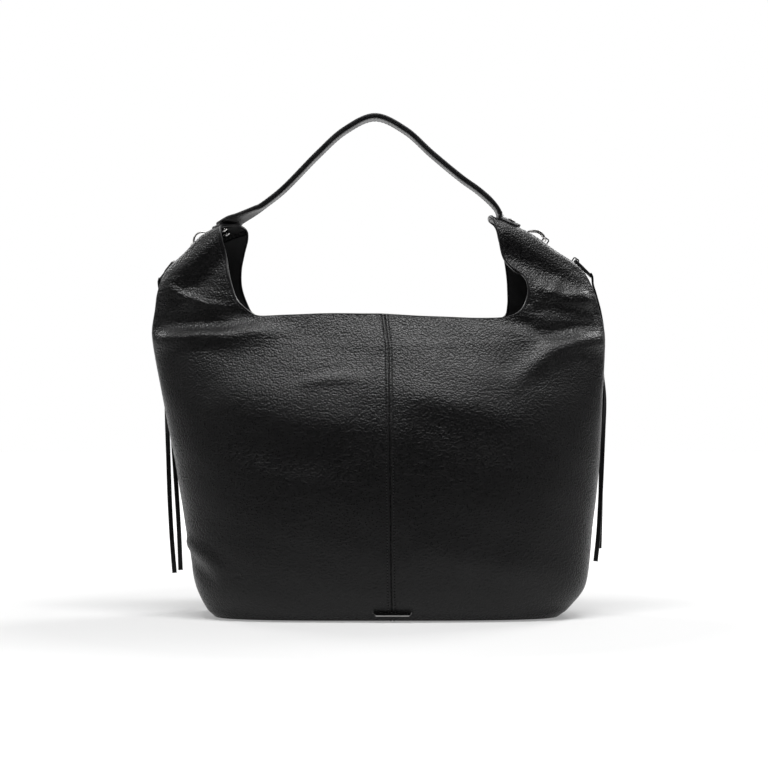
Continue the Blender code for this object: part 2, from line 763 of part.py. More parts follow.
def strap_root(side, arch_end, arch_next, axis):
    """The short supple length between a riveted tab and the arch, lofted from end to end."""
    tip, down, across, normal = shoulder_frame(side)
    start = TAB_SPAN[side][0] * MM
    lift = TAB_SEAT + TAB_THICKNESS / 2
    first = tip + down * (start - GAP) + normal * lift
    away = (arch_end - arch_next).normalized()
    last = arch_end + away * GAP
    route = [first, *[Vector((x, 0, z)) * MM for x, z in ROOT_ROUTES[side]], last]
    straight_across = Vector((0, 1, 0))
    rings = []
    for k, centre in enumerate(route):
        part = k / (len(route) - 1)
        forward = (route[min(k + 1, len(route) - 1)] - route[max(k - 1, 0)]).normalized()
        if k == 0:
            forward = -down
        if k == len(route) - 1:
            forward = -away
        wide = across.lerp(straight_across, part)
        wide = (wide - forward * wide.dot(forward)).normalized()
        thick = forward.cross(wide).normalized()
        half = (TAB_THICKNESS * (1 - part) + (2 * STRAP_LAYER + GAP) * part) / 2
        corners = ((-1, -1), (1, -1), (1, 1), (-1, 1))
        rings.append([centre + wide * u * STRAP_WIDTH / 2 + thick * v * half for u, v in corners])
    points = [p for ring in rings for p in ring]
    faces = [[0, 1, 2, 3], [4 * (len(rings) - 1) + k for k in (3, 2, 1, 0)]]
    for ring in range(len(rings) - 1):
        for k in range(4):
            a, b = ring * 4 + k, ring * 4 + (k + 1) % 4
            faces.append([a, b, b + 4, a + 4])
    name = f"strap_root_{side}"
    hang(add_object(name, mesh_from(name, points, faces), "smooth_leather"), axis)


# ---- zips --------------------------------------------------------------------------
def zip_frame(side):
    """Matrix of a zip: X runs down the shoulder from its mouth end, Z out of it."""
    start, down, _, normal, slot = ridge_frame(side, ZIP_HIGH, ZIP_LOW)
    upper, lower = ZIP_INSET
    return frame_at(start + down * upper, normal, down), slot - upper - lower


def box(name, low, high, finish, place, parent=None):
    """A box between two corners of its own frame, made from a cube."""
    work = bmesh.new()
    bmesh.ops.create_cube(work, size=1)
    size, middle = high - low, (high + low) / 2
    for vertex in work.verts:
        vertex.co = Vector((vertex.co.x * size.x, vertex.co.y * size.y, vertex.co.z * size.z)) + middle
    mesh = bpy.data.meshes.new(name)
    work.to_mesh(mesh)
    work.free()
    thing = add_object(name, mesh, finish)
    thing.matrix_world = place
    if parent:
        hang(thing, parent)
    return thing


def comb(name, side_turn, length, place):
    """Half of the zip chain: a cord with teeth that reach between those of the other half."""
    first, last = CHAIN_END, length - CHAIN_END
    half = CHAIN_WIDTH / 2
    spine = half - TOOTH_LENGTH / 2
    tooth_end = spine - TOOTH_LENGTH
    shift = TOOTH_PITCH / 2 if side_turn > 0 else 0
    count = int((last - first - TOOTH_PITCH) / TOOTH_PITCH)
    outline = [(first, spine)]
    for k in range(count):
        x = first + TOOTH_THICKNESS / 2 + shift + k * TOOTH_PITCH
        outline += [(x, spine), (x + TOOTH_TAPER, tooth_end)]
        outline += [(x + TOOTH_THICKNESS - TOOTH_TAPER, tooth_end), (x + TOOTH_THICKNESS, spine)]
    outline += [(last, spine), (last, half), (first, half)]
    outline = [(x, y * side_turn) for x, y in outline]
    depth = -TAPE_DEPTH + GAP + CHAIN_HEIGHT / 2
    extruded(name, outline, CHAIN_HEIGHT, "metal", place @ Matrix.Translation((0, 0, depth)))


def slider(name, place, station):
    """A zip slider: a saddle over the chain with a bail on top, on its own joint."""
    centre = place @ Matrix.Translation((station, 0, 0))
    empty = joint_empty(name + "_slide", centre.translation)
    bottom = -TAPE_DEPTH + GAP
    ceiling = bottom + CHAIN_HEIGHT + GAP
    plate_top = ceiling + SLIDER_PLATE
    half = SLIDER_WIDTH / 2
    inner = half - SLIDER_FLANGE
    section = [(-half, bottom), (-inner, bottom), (-inner, ceiling), (inner, ceiling), (inner, bottom),
               (half, bottom), (half, plate_top - 0.5 * MM), (half - 0.8 * MM, plate_top),
               (-half + 0.8 * MM, plate_top), (-half, plate_top - 0.5 * MM)]
    across_zip = frame_at(Vector((0, 0, 0)), Vector((1, 0, 0)), Vector((0, 1, 0)))
    body = extruded(name, section, SLIDER_LENGTH, "metal", centre @ across_zip)
    foot = plate_top - SLIDER_PLATE / 2
    left, right = BAIL_HOLE.x - BAIL_GAP.x / 2, BAIL_HOLE.x + BAIL_GAP.x / 2
    under = BAIL_HOLE.z + BAIL_GAP.z / 2
    bail = [(left - BAIL_WIRE, foot), (left - BAIL_WIRE, under), (left, under + BAIL_WIRE),
            (right, under + BAIL_WIRE), (right + BAIL_WIRE, under), (right + BAIL_WIRE, foot),
            (right, foot), (right, under), (left, under), (left, foot)]
    along_zip = frame_at(Vector((0, 0, 0)), Vector((0, -1, 0)), Vector((1, 0, 0)))
    arch = extruded(name + "_bail", bail, BAIL_WIDTH, "metal", centre @ along_zip)
    join = body.modifiers.new("bail", "BOOLEAN")
    join.operation = "UNION"
    join.object = arch
    BAG.objects.unlink(arch)
    CUTTERS.objects.link(arch)
    arch.hide_render = True
    arch.display_type = "WIRE"
    hang(body, empty)
    return centre, empty


def ring_pull(side, centre, empty):
    """An arched oval of wire through the bail of the upper slider, laid back over it."""
    swing = joint_empty(f"ring_pull_{side}_hinge", centre @ BAIL_HOLE, empty)
    curve = bpy.data.curves.new(f"ring_pull_{side}", "CURVE")
    curve.dimensions = "3D"
    curve.bevel_depth = PULL_WIRE
    curve.bevel_resolution = 2
    spline = curve.splines.new("POLY")
    count = 22
    spline.points.add(count - 1)
    rest = PULL_WIRE + 2 * GAP
    for k in range(count):
        angle = 2 * math.pi * k / count
        far = (1 - math.cos(angle)) / 2
        x = BAIL_HOLE.x - PULL_LENGTH * far
        y = PULL_WIDTH / 2 * math.sin(angle)
        z = BAIL_HOLE.z + (rest - BAIL_HOLE.z) * far + PULL_RISE * math.sin(math.pi * far)
        spline.points[k].co = (x, y, z, 1)
    spline.use_cyclic_u = True
    curve_to_object(f"ring_pull_{side}", curve, "metal", centre, swing)


def lace_loop(side, centre, empty):
    """A leather loop through the bail of the lower slider, which the two laces hang from."""
    swing = joint_empty(f"lace_loop_{side}_hinge", centre @ BAIL_HOLE, empty)
    place = centre @ Matrix.Translation(BAIL_HOLE) @ Matrix.Rotation(math.radians(LOOP_DROP), 4, "Y")
    half, bar, tail = LOOP_WIDTH / 2, 1.0 * MM, 3.4 * MM
    outer = [(-bar, -half + bar), (0, -half), (LOOP_LENGTH * 0.45, -half), (LOOP_LENGTH * 0.6, -tail),
             (LOOP_LENGTH, -tail), (LOOP_LENGTH, tail), (LOOP_LENGTH * 0.6, tail),
             (LOOP_LENGTH * 0.45, half), (0, half), (-bar, half - bar)]
    eye_end, eye_half = LOOP_LENGTH * 0.4, half - 1.8 * MM
    eye = [(bar, -eye_half), (eye_end, -eye_half), (eye_end, eye_half), (bar, eye_half)]
    curve = flat_outline(f"lace_loop_{side}", [outer, eye], LOOP_THICKNESS)
    curve_to_object(f"lace_loop_{side}", curve, "smooth_leather", place, swing)
    for number, route in enumerate(LACE_ROUTES[side]):
        lace(f"lace_{('outer', 'inner')[number]}_{side}", route, swing)


def lace(name, route, swing):
    keys = [(k, *Vector(point) * MM) for k, point in enumerate(route)]
    last = len(keys) - 1
    fine = [Vector(smooth_value(keys, last * k / 240)) for k in range(241)]
    length = sum((b - a).length for a, b in zip(fine, fine[1:]))
    steps = round(length / LACE_STEP)
    curve = bpy.data.curves.new(name, "CURVE")
    curve.dimensions = "3D"
    curve.bevel_depth = LACE_DIAMETER / 2
    curve.bevel_resolution = 2
    curve.use_fill_caps = True
    spline = curve.splines.new("POLY")
    spline.points.add(steps)
    walked, mark = 0.0, 0
    for a, b in zip(fine, fine[1:] + fine[-1:]):
        if walked >= mark * length / steps - 1e-9 and mark <= steps:
            spline.points[mark].co = (*a, 1)
            mark += 1
        walked += (b - a).length
    spline.points[steps].co = (*fine[-1], 1)
    print(f"{name}: {length / MM:.0f} mm")
    curve_to_object(name, curve, "smooth_leather", Matrix(), swing)


def shoulder_zip(side):
    place, length = zip_frame(side)
    half = TAPE_WIDTH / 2
    box(
        f"zip_tape_{side}", Vector((0, -half, -TAPE_DEPTH - TAPE_THICKNESS)),
        Vector((length, half, -TAPE_DEPTH)), "tape", place,
    )
    front = -1 if side == "right" else 1
    for face, turn in (("front", front), ("back", -front)):
        comb(f"zip_teeth_{face}_{side}", turn, length, place)
    low = -TAPE_DEPTH + GAP
    for end, start in (("top", GAP), ("bottom", length - CHAIN_END + GAP)):
        box(
            f"zip_stop_{end}_{side}", Vector((start, -CHAIN_WIDTH / 2, low)),
            Vector((start + CHAIN_END - 2 * GAP, CHAIN_WIDTH / 2, low + CHAIN_HEIGHT)), "metal", place,
        )
    centre, empty = slider(f"zip_slider_upper_{side}", place, UPPER_STATION)
    ring_pull(side, centre, empty)
    centre, empty = slider(f"zip_slider_lower_{side}", place, length - LOWER_STATION)
    lace_loop(side, centre, empty)


RIVET_HOLES = rivet_cutters()
outer_panels()
base()
linings()
magnetic_snap()
name_plate()
strap_ends()
strap()
for zip_side in ("right", "left"):
    shoulder_zip(zip_side)
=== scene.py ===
"""Looks of the slouchy hobo bag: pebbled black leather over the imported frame."""
import math

import bpy
import numpy as np
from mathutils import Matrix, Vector


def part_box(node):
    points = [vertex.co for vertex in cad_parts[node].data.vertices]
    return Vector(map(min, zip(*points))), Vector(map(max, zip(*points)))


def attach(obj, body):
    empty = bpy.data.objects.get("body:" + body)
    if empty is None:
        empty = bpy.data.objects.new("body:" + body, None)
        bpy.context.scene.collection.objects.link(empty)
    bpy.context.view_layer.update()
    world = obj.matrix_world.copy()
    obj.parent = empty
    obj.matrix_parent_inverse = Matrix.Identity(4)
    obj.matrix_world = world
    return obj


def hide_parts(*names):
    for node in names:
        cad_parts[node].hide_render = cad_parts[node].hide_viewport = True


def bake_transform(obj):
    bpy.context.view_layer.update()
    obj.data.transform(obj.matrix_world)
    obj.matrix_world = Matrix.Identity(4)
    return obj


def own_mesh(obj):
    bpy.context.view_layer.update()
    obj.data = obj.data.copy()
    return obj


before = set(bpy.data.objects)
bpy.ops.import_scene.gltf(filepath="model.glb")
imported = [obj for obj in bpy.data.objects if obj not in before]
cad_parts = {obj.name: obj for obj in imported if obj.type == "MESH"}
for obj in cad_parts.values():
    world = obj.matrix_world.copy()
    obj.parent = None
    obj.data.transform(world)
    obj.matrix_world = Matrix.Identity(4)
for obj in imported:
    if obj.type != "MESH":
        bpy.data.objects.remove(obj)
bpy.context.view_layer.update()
MM = 0.001

# ---- camera ----
# Level with the middle of the bag and square to its front.
CAMERA_PLACE = (0.0049, -1.9, 0.2033)
CAMERA_LENS = 100.8


def make_camera():
    data = bpy.data.cameras.new("camera")
    data.lens = CAMERA_LENS
    data.sensor_width = 36
    data.clip_start = 0.05
    camera = bpy.data.objects.new("camera", data)
    camera.location = CAMERA_PLACE
    camera.rotation_euler = (math.radians(90), 0, 0)
    bpy.context.scene.collection.objects.link(camera)
    bpy.context.scene.camera = camera


make_camera()

# ---- the shape of the soft body, as the frame has it, in millimetres ----
LEATHER, FACING, LINING, GAP = 1.4, 1.0, 0.7, 0.3
# Rings: height at front and side, reach left and right, half depth, squareness.
RINGS = (
    (0, 0, 144, 158, 54.0, 3.4),
    (7, 7, 151, 167, 61.0, 3.2),
    (28, 28, 161, 182, 68.5, 3.0),
    (75, 75, 169, 188, 74.0, 2.8),
    (130, 130, 178, 194.5, 75.0, 2.6),
    (190, 190, 190, 197.5, 66.0, 2.5),
    (236, 246, 200, 200, 46.0, 2.3),
)
CREASE = len(RINGS) - 1
SHOULDER = {
    "right": ((195, 268), (188, 289), (177, 306), (154, 321.5), (131, 337)),
    "left": ((-196, 268), (-191, 287), (-183, 303), (-165.5, 319.5), (-148, 336)),
}
TOP = CREASE + len(SHOULDER["right"]) + 1
ZIP_LOW, ZIP_HIGH, ZIP_SLOT = CREASE + 3, CREASE + 5, 5.5
# The edge of the mouth by the angle of the rib that ends on it: 0 is the middle of the front.
MOUTH = (
    (0, 0, -31, 264.5), (25, 50, -32, 262), (40, 88, -31, 260.8), (50, 112, -30, 262),
    (57, 124, -28.5, 267.5), (63, 130, -27.5, 279), (68, 130.5, -27, 291),
    (72, 126, -26, 300.5), (76, 117, -24, 308), (80, 109.5, -20.5, 318),
    (84, 104.5, -16, 334), (87, 101, -12.5, 349), (90, 98.5, 0, 352), (93, 99, 12.5, 350),
    (97, 105, 17, 342), (101, 108, 20.5, 330.5), (105, 112, 23, 319), (109, 115, 26, 301),
    (114, 116, 27, 287), (120, 116, 28, 274), (127, 113, 29, 264), (137, 95, 30, 259.5),
    (155, 50, 31, 258.5), (180, 0, 31, 258.5), (205, -50, 31, 258.5), (220, -92, 30, 260),
    (232, -112, 29, 266), (240, -119, 27, 277.5), (246, -123, 25.5, 291),
    (252, -123, 23.5, 306), (257, -120.5, 20.5, 318.5), (262, -117, 17, 333),
    (267, -119, 11.5, 342), (270, -128, 0, 345.5), (273, -137, -11.5, 342.5),
    (277, -137.5, -16.5, 333), (283, -134, -22, 315), (289, -130, -26, 295),
    (295, -124, -28, 278), (302, -114, -30, 268), (310, -104, -31, 263),
    (322, -78, -32, 263.5), (335, -48, -32, 264.5), (360, 0, -31, 264.5),
)
SEAM_TOP, SEAM_BOTTOM = 5.3, 12.2

STRAP_ROUTE = (
    (-103, 360), (-84, 375), (-53, 406.5), (-30, 427), (-3, 439),
    (24, 427), (47, 406.5), (73, 385), (87, 375), (96, 367.5),
)
ROOT_ROUTES = {
    "right": ((107.6, 352.6), (104.6, 357.8), (101, 362.4)),
    "left": ((-122.5, 349.6), (-115, 353.4), (-108, 357.1)),
}
TAB_SPAN = {"right": (10.5, 28.0), "left": (2.0, 19.0)}
TAB_TAPER = {"right": (0.0, 0.0), "left": (0.9, 0.7)}      # sinks, and thins, by its tip
UPRIGHT = np.array([0.0, 1.0, 0.0])
TAB_SEAT, TAB_THICKNESS, STRAP_WIDTH, STRAP_THICKNESS = 0.5, 2.8, 25.0, 4.7
LACE_ROUTES = {
    "right": (
        ((189, -1.8, 297.4), (191.7, -1.2, 291.5), (193.6, 1, 282.5), (197, 5, 268),
         (200.4, 8, 252), (202.2, 9.5, 236), (201.8, 10, 215), (200.8, 10.5, 190),
         (199.6, 10.5, 160), (198.4, 10.2, 130), (197, 9.8, 100), (195.2, 9, 70), (192.6, 8, 46)),
        ((189, 1.8, 297.4), (191.5, 3, 291.5), (193.2, 6.5, 282.5), (196.2, 11.5, 268),
         (199.2, 15, 252), (200.9, 16, 236), (200.6, 16.5, 215), (199.8, 16.5, 190),
         (198.9, 16.3, 160), (198.3, 16, 130), (197.8, 15.5, 100), (197.2, 15, 75), (196.6, 14.5, 57)),
    ),
    "left": (
        ((-194.2, -1.8, 293), (-195.8, -0.5, 287), (-196.6, 3, 279), (-197.2, 8.5, 266),
         (-197.5, 13, 251), (-194.6, 16, 236), (-191.8, 17.5, 215), (-189.6, 18, 190),
         (-188.2, 18, 160), (-187.2, 18, 130), (-186.2, 18, 100), (-184.4, 17.5, 67), (-181.8, 17, 35)),
        ((-193.1, 1.5, 291.8), (-194.9, 3.6, 286), (-195.7, 8, 279), (-195.4, 14, 266),
         (-194.6, 19, 251), (-191.6, 22, 236), (-188.8, 23.5, 215), (-186.4, 24, 190),
         (-184.2, 24, 160), (-182.2, 24, 130), (-180.2, 24, 100), (-178.4, 23.5, 70), (-177, 23, 37)),
    ),
}
LACE_WIDTH, LACE_THICKNESS, LACE_IN_LOOP = 4.0, 1.7, 4.0


def smooth(keys, where):
    """The smooth curve through rows (position, number, ...), at an array of positions."""
    keys, where = np.asarray(keys, float), np.asarray(where, float)
    last = len(keys) - 1
    i = np.clip(np.searchsorted(keys[:, 0], where, side="left") - 1, 0, last - 1)
    before, start, end = keys[np.maximum(i - 1, 0)], keys[i], keys[i + 1]
    after = keys[np.minimum(i + 2, last)]
    span = end[..., :1] - start[..., :1]
    f = (where[..., None] - start[..., :1]) / span
    slope_in = (end - before) / (end[..., :1] - before[..., :1]) * span
    slope_out = (after - start) / (after[..., :1] - start[..., :1]) * span
    return hermite(start, end, slope_in, slope_out, f)[..., 1:]


def hermite(start, end, slope_in, slope_out, f):
    return (
        (2 * f**3 - 3 * f**2 + 1) * start + (f**3 - 2 * f**2 + f) * slope_in
        + (3 * f**2 - 2 * f**3) * end + (f**3 - f**2) * slope_out
    )


def body(angle, height):
    """The bag's outer face, in mm: `angle` goes round it, `height` counts its levels."""
    angle, height = np.broadcast_arrays(np.asarray(angle, float), np.asarray(height, float))
    across, along = np.sin(np.radians(angle)), np.cos(np.radians(angle))
    right = (across > 0)[..., None]
    levels = []
    for front_z, side_z, reach_left, reach_right, depth, square in RINGS:
        reach = np.where(across > 0, reach_right, reach_left)
        fill = (abs(across) ** square + abs(along) ** square) ** (-1 / square)
        level_z = front_z + (side_z - front_z) * across**2
        levels.append(np.stack([reach * fill * across, -depth * fill * along, level_z], -1))
    rim, crease = smooth(MOUTH, angle % 360), levels[-1]
    _, side_z, reach_left, reach_right, *_ = RINGS[-1]
    for k in range(len(SHOULDER["right"])):
        part = (k + 1) / (TOP - CREASE)
        lift = []
        for side, reach, ridge in (("right", reach_right, 90), ("left", -reach_left, 270)):
            ridge_line = np.array([reach, 0, side_z]) * (1 - part) + smooth(MOUTH, ridge) * part
            x, z = SHOULDER[side][k]
            lift.append(np.array([x, 0, z]) - ridge_line)
        straight = crease * (1 - part) + rim * part
        levels.append(straight + np.where(right, lift[0], lift[1]) * (across**4)[..., None])
    levels.append(rim)
    stack = np.stack(levels)
    low = np.minimum(height.astype(int), TOP - 1)

    def at(level):
        return np.take_along_axis(stack, np.clip(level, 0, TOP)[None, ..., None], 0)[0]

    start, end, before, after = at(low), at(low + 1), at(low - 1), at(low + 2)
    bottom, top = (low == 0)[..., None], (low + 2 > TOP)[..., None]
    span, span_before, span_after = (
        np.linalg.norm(pair, axis=-1, keepdims=True) for pair in (end - start, start - before, after - end)
    )
    slope_in = np.where(bottom, end - start, (end - before) * span / (span + span_before))
    slope_out = np.where(top, end - start, (after - start) * span / (span + span_after))
    return hermite(start, end, slope_in, slope_out, (height - low)[..., None])


def body_normal(angle, height, step=0.02):
    """Unit normals of the outer face."""
    low, high = np.maximum(height - step, 0), np.minimum(height + step, TOP)
    up = body(angle, high) - body(angle, low)
    around = body(angle + 0.4, height) - body(angle - 0.4, height)
    return unit(np.cross(around, up))


def joined(*stretches):
    """Positions along stretches of (start, end, count) that follow on each other."""
    return np.concatenate([np.linspace(*stretch)[k > 0:] for k, stretch in enumerate(stretches)])


def unit(vectors):
    return vectors / np.maximum(np.linalg.norm(vectors, axis=-1, keepdims=True), 1e-12)


def angle_where(height, low, high, wanted, axis):
    """The angle between low and high at which a coordinate is `wanted`, for arrays of them."""
    given = (np.asarray(v, float) for v in (height, low, high, wanted))
    height, low, high, wanted = np.broadcast_arrays(*given)
    rising = body(high, height)[..., axis] > body(low, height)[..., axis]
    for _ in range(26):
        middle = (low + high) / 2
        above = (body(middle, height)[..., axis] > wanted) == rising
        low, high = np.where(above, low, middle), np.where(above, middle, high)
    return (low + high) / 2


def ridge_frame(side, high, low, reach=8.0):
    """A flat seat on the shoulder: upper point, down, across, normal and length, in mm."""
    ridge, turn = (90, 1) if side == "right" else (270, -1)
    top, foot = body(ridge, high), body(ridge, low)
    down = unit(foot - top)
    height = (high + low) / 2
    front = angle_where(height, ridge - turn * 40, ridge, -reach, 1)
    back = angle_where(height, ridge, ridge + turn * 40, reach, 1)
    across = body(back, height) - body(front, height)
    across = unit(across - down * across.dot(down))
    normal = np.cross(down, across)
    normal = normal if normal[2] > 0 else -normal
    return top, down, across, normal, float(np.linalg.norm(foot - top))


# ---- materials ----
def new_material(name, colour, roughness, metallic=0.0, specular=0.5):
    """A material with its Principled shader and a small kit for adding nodes."""
    made = bpy.data.materials.new(name)
    made.use_nodes = True
    tree = made.node_tree
    shader = tree.nodes["Principled BSDF"]
    shader.inputs["Base Color"].default_value = (*colour, 1)
    shader.inputs["Roughness"].default_value = roughness
    shader.inputs["Metallic"].default_value = metallic
    shader.inputs["Specular IOR Level"].default_value = specular

    def node(kind, links=(), **values):
        item = tree.nodes.new(kind)
        for key, value in values.items():
            if hasattr(item, key) and key not in item.inputs:
                setattr(item, key, value)
            else:
                item.inputs[key].default_value = value
        for socket, source in dict(links).items():
            tree.links.new(source, item.inputs[socket])
        return item

    def link(source, socket):
        tree.links.new(source, shader.inputs[socket])

    def bump(height, strength, distance):
        raised = node("ShaderNodeBump", {"Height": height}, Strength=strength, Distance=distance)
        link(raised.outputs["Normal"], "Normal")

    return made, node, link, bump


def maths(node, operation, first, second):
    """A Math node of two values, each a socket or a number."""
    made = node("ShaderNodeMath", operation=operation)
    for k, value in enumerate((first, second)):
        if isinstance(value, (int, float)):
            made.inputs[k].default_value = value
        else:
            made.id_data.links.new(value, made.inputs[k])
    return made.outputs[0]


def ramp(node, source, stops):
    """A colour ramp from (position, grey) stops, read as a value."""
    made = node("ShaderNodeValToRGB", {"Fac": source})
    elements = made.color_ramp.elements
    while len(elements) < len(stops):
        elements.new(0.5)
    for element, (position, grey) in zip(elements, stops):
        element.position = position
        colour = grey if isinstance(grey, tuple) else (grey, grey, grey)
        element.color = (*colour, 1)
    return made.outputs["Color"]


def span_mask(node, source, start, end):
    """A value that rises from 0 at `start` to 1 at `end`."""
    made = node("ShaderNodeMapRange", {"Value": source}, interpolation_type="SMOOTHSTEP")
    made.inputs["From Min"].default_value = start
    made.inputs["From Max"].default_value = end
    return made.outputs["Result"]


def pebbled_leather():
    """Black tumbled leather: 2 mm pebbles with fine creases between them."""
    made, node, link, bump = new_material("pebbled_leather", (0.005, 0.005, 0.0053), 0.45, specular=0.3)
    place = node("ShaderNodeTexCoord").outputs["Object"]
    drift = node("ShaderNodeTexNoise", {"Vector": place}, Scale=330.0, Detail=2.0)
    drifted = node("ShaderNodeVectorMath", operation="MULTIPLY_ADD")
    made.node_tree.links.new(drift.outputs["Color"], drifted.inputs[0])
    drifted.inputs[1].default_value = (0.0009, 0.0009, 0.0009)
    made.node_tree.links.new(place, drifted.inputs[2])
    pebbles = node("ShaderNodeTexVoronoi", {"Vector": drifted.outputs[0]}, Scale=590.0)
    small = node("ShaderNodeTexVoronoi", {"Vector": drifted.outputs[0]}, Scale=1150.0)
    dome = ramp(node, pebbles.outputs["Distance"], [(0.0, 1.0), (0.35, 0.86), (0.62, 0.42), (0.85, 0.0)])
    grain = maths(node, "MULTIPLY", small.outputs["Distance"], -0.30)
    pores = node("ShaderNodeTexNoise", {"Vector": place}, Scale=2600.0, Detail=2.0)
    relief = maths(node, "ADD", maths(node, "ADD", dome, grain),
                   maths(node, "MULTIPLY", pores.outputs["Fac"], 0.10))
    # Fine creases run round the narrow part under each shoulder.
    axes = node("ShaderNodeSeparateXYZ", {"Vector": place})
    from_middle = maths(node, "ABSOLUTE", axes.outputs["X"], 0.0)
    stretched = node("ShaderNodeMapping", {"Vector": place}, Scale=(26, 30, 210))
    lines = node("ShaderNodeTexNoise", {"Vector": stretched.outputs[0]}, Scale=1.0, Detail=3.0)
    sides = span_mask(node, from_middle, 0.085, 0.15)
    band = maths(node, "MULTIPLY", span_mask(node, axes.outputs["Z"], 0.215, 0.25),
                 span_mask(node, axes.outputs["Z"], 0.325, 0.285))
    creases = maths(node, "MULTIPLY", maths(node, "MULTIPLY", sides, band), lines.outputs["Fac"])
    relief = maths(node, "ADD", relief, maths(node, "MULTIPLY", creases, 3.2))
    bump(relief, 0.9, 0.00034)
    worn = node("ShaderNodeTexNoise", {"Vector": place}, Scale=22.0, Detail=4.0)
    tone = node("ShaderNodeMix", {"Factor": worn.outputs["Fac"]}, data_type="RGBA")
    tone.inputs[6].default_value = (0.0022, 0.0022, 0.0024, 1)
    tone.inputs[7].default_value = (0.0050, 0.0049, 0.0052, 1)
    link(tone.outputs[2], "Base Color")
    link(ramp(node, dome, [(0.0, 0.52), (0.55, 0.34), (1.0, 0.26)]), "Roughness")
    return made


def smooth_leather(name, colour=(0.006, 0.006, 0.0065), roughness=0.42, specular=0.3, grain=0.00012):
    """Black smooth leather with a faint fine grain, for facings, strap and laces."""
    made, node, link, bump = new_material(name, colour, roughness, specular=specular)
    place = node("ShaderNodeTexCoord").outputs["Object"]
    cells = node("ShaderNodeTexVoronoi", {"Vector": place}, Scale=900.0)
    mottle = node("ShaderNodeTexNoise", {"Vector": place}, Scale=70.0, Detail=3.0)
    bump(cells.outputs["Distance"], 0.5, grain)
    link(ramp(node, mottle.outputs["Fac"], [(0.3, roughness - 0.08), (0.7, roughness + 0.1)]), "Roughness")
    return made


def woven(name, colour, scale, roughness=0.9):
    """Cloth: two crossing sets of threads in the plane of the piece's own UV map."""
    made, node, link, bump = new_material(name, colour, roughness, specular=0.25)
    uv = node("ShaderNodeTexCoord").outputs["UV"]
    turns = []
    for turn in (math.radians(45), math.radians(-45)):
        spun = node("ShaderNodeMapping", {"Vector": uv}, Rotation=(0, 0, turn), Scale=(scale, scale, scale))
        wave = node("ShaderNodeTexWave", {"Vector": spun.outputs[0]}, Scale=1.0, Distortion=0.4, Detail=1.0)
        turns.append(wave.outputs["Fac"])
    threads = maths(node, "MAXIMUM", *turns)
    bump(threads, 0.7, 0.0003)
    dark, light = tuple(c * 0.5 for c in colour), tuple(min(1, c * 1.5) for c in colour)
    link(ramp(node, threads, [(0.2, dark), (0.8, light)]), "Base Color")
    return made


def nickel(name="polished_nickel", gloss=0.14):
    """Polished nickel plate with faint rubbing marks."""
    made, node, link, bump = new_material(name, (0.66, 0.65, 0.64), 0.2, metallic=1.0)
    place = node("ShaderNodeTexCoord").outputs["Object"]
    rub = node("ShaderNodeTexNoise", {"Vector": place}, Scale=900.0, Detail=3.0)
    bump(rub.outputs["Fac"], 0.15, 0.0001)
    link(ramp(node, rub.outputs["Fac"], [(0.3, gloss), (0.7, gloss * 2)]), "Roughness")
    return made


def thread():
    """Bonded black sewing thread with its twist."""
    made, node, _, bump = new_material("sewing_thread", (0.016, 0.016, 0.017), 0.36, specular=0.5)
    place = node("ShaderNodeTexCoord").outputs["Object"]
    twist = node("ShaderNodeTexNoise", {"Vector": place}, Scale=1500.0, Detail=1.0)
    bump(twist.outputs["Fac"], 0.4, 0.0002)
    return made


def pressed_board():
    made, node, link, _ = new_material("pressed_board", (0.25, 0.20, 0.14), 0.9)
    place = node("ShaderNodeTexCoord").outputs["Object"]
    fibre = node("ShaderNodeTexNoise", {"Vector": place}, Scale=400.0, Detail=5.0)
    link(ramp(node, fibre.outputs["Fac"], [(0.3, (0.2, 0.155, 0.1)), (0.7, (0.3, 0.25, 0.18))]), "Base Color")
    return made


PEBBLED = pebbled_leather()
SMOOTH = smooth_leather("smooth_leather")
# The facing is the same black leather painted lighter: painted light on the shaded inside of the mouth.
FACING_PAINTED_LIGHT = smooth_leather("facing_leather", (0.026, 0.026, 0.027), 0.5)
# Near-black beads set between the seam stitches: painted shade where the needle holes are.
NEEDLE_HOLE_SHADE = smooth_leather("needle_hole_painted_shade", (0.001, 0.001, 0.001), 0.8, 0.1)
EDGE_PAINT = smooth_leather("edge_paint", (0.004, 0.004, 0.0045), 0.34, 0.4, 0.00003)
CLOTH = woven("lining_cloth", (0.03, 0.029, 0.029), 900)
TAPE = woven("zip_tape_cloth", (0.008, 0.008, 0.009), 700, 0.8)
NICKEL = nickel()
PLATE_FINISH = nickel("plate_nickel", 0.08)
STRAP_FINISH = smooth_leather("strap_leather_finish", (0.0065, 0.0065, 0.007), 0.40, 0.35, 0.00022)
THREAD = thread()
BOARD = pressed_board()


# ---- makers ----
def active(thing):
    bpy.ops.object.select_all(action="DESELECT")
    thing.select_set(True)
    bpy.context.view_layer.objects.active = thing


def apply_modifiers(thing):
    active(thing)
    for modifier in list(thing.modifiers):
        bpy.ops.object.modifier_apply(modifier=modifier.name)


def edit_all(thing, *steps):
    """Runs mesh operators on the whole of a piece, each with its settings."""
    active(thing)
    bpy.ops.object.mode_set(mode="EDIT")
    bpy.ops.mesh.select_all(action="SELECT")
    for operator, settings in steps:
        operator(**settings)
    bpy.ops.object.mode_set(mode="OBJECT")


JOIN_DOUBLES = (bpy.ops.mesh.remove_doubles, {"threshold": 0.00001})
NORMALS_OUT = (bpy.ops.mesh.normals_make_consistent, {"inside": False})
SELECT_ALL, SELECT_NONE = ((bpy.ops.mesh.select_all, {"action": a}) for a in ("SELECT", "DESELECT"))
CLOSE_ENDS = ((bpy.ops.mesh.select_non_manifold, {}), (bpy.ops.mesh.edge_face_add, {}))


def finish_piece(thing, name, material, rides, angle=40):
    """Names, paints, smooths and places a new piece on its body."""
    thing.name = thing.data.name = name
    thing.data.materials.clear()
    thing.data.materials.append(material)
    active(thing)
    bpy.ops.object.transform_apply(location=True, rotation=True, scale=True)
    bpy.ops.object.shade_smooth_by_angle(angle=math.radians(angle))
    if rides:
        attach(thing, rides)
    return thing


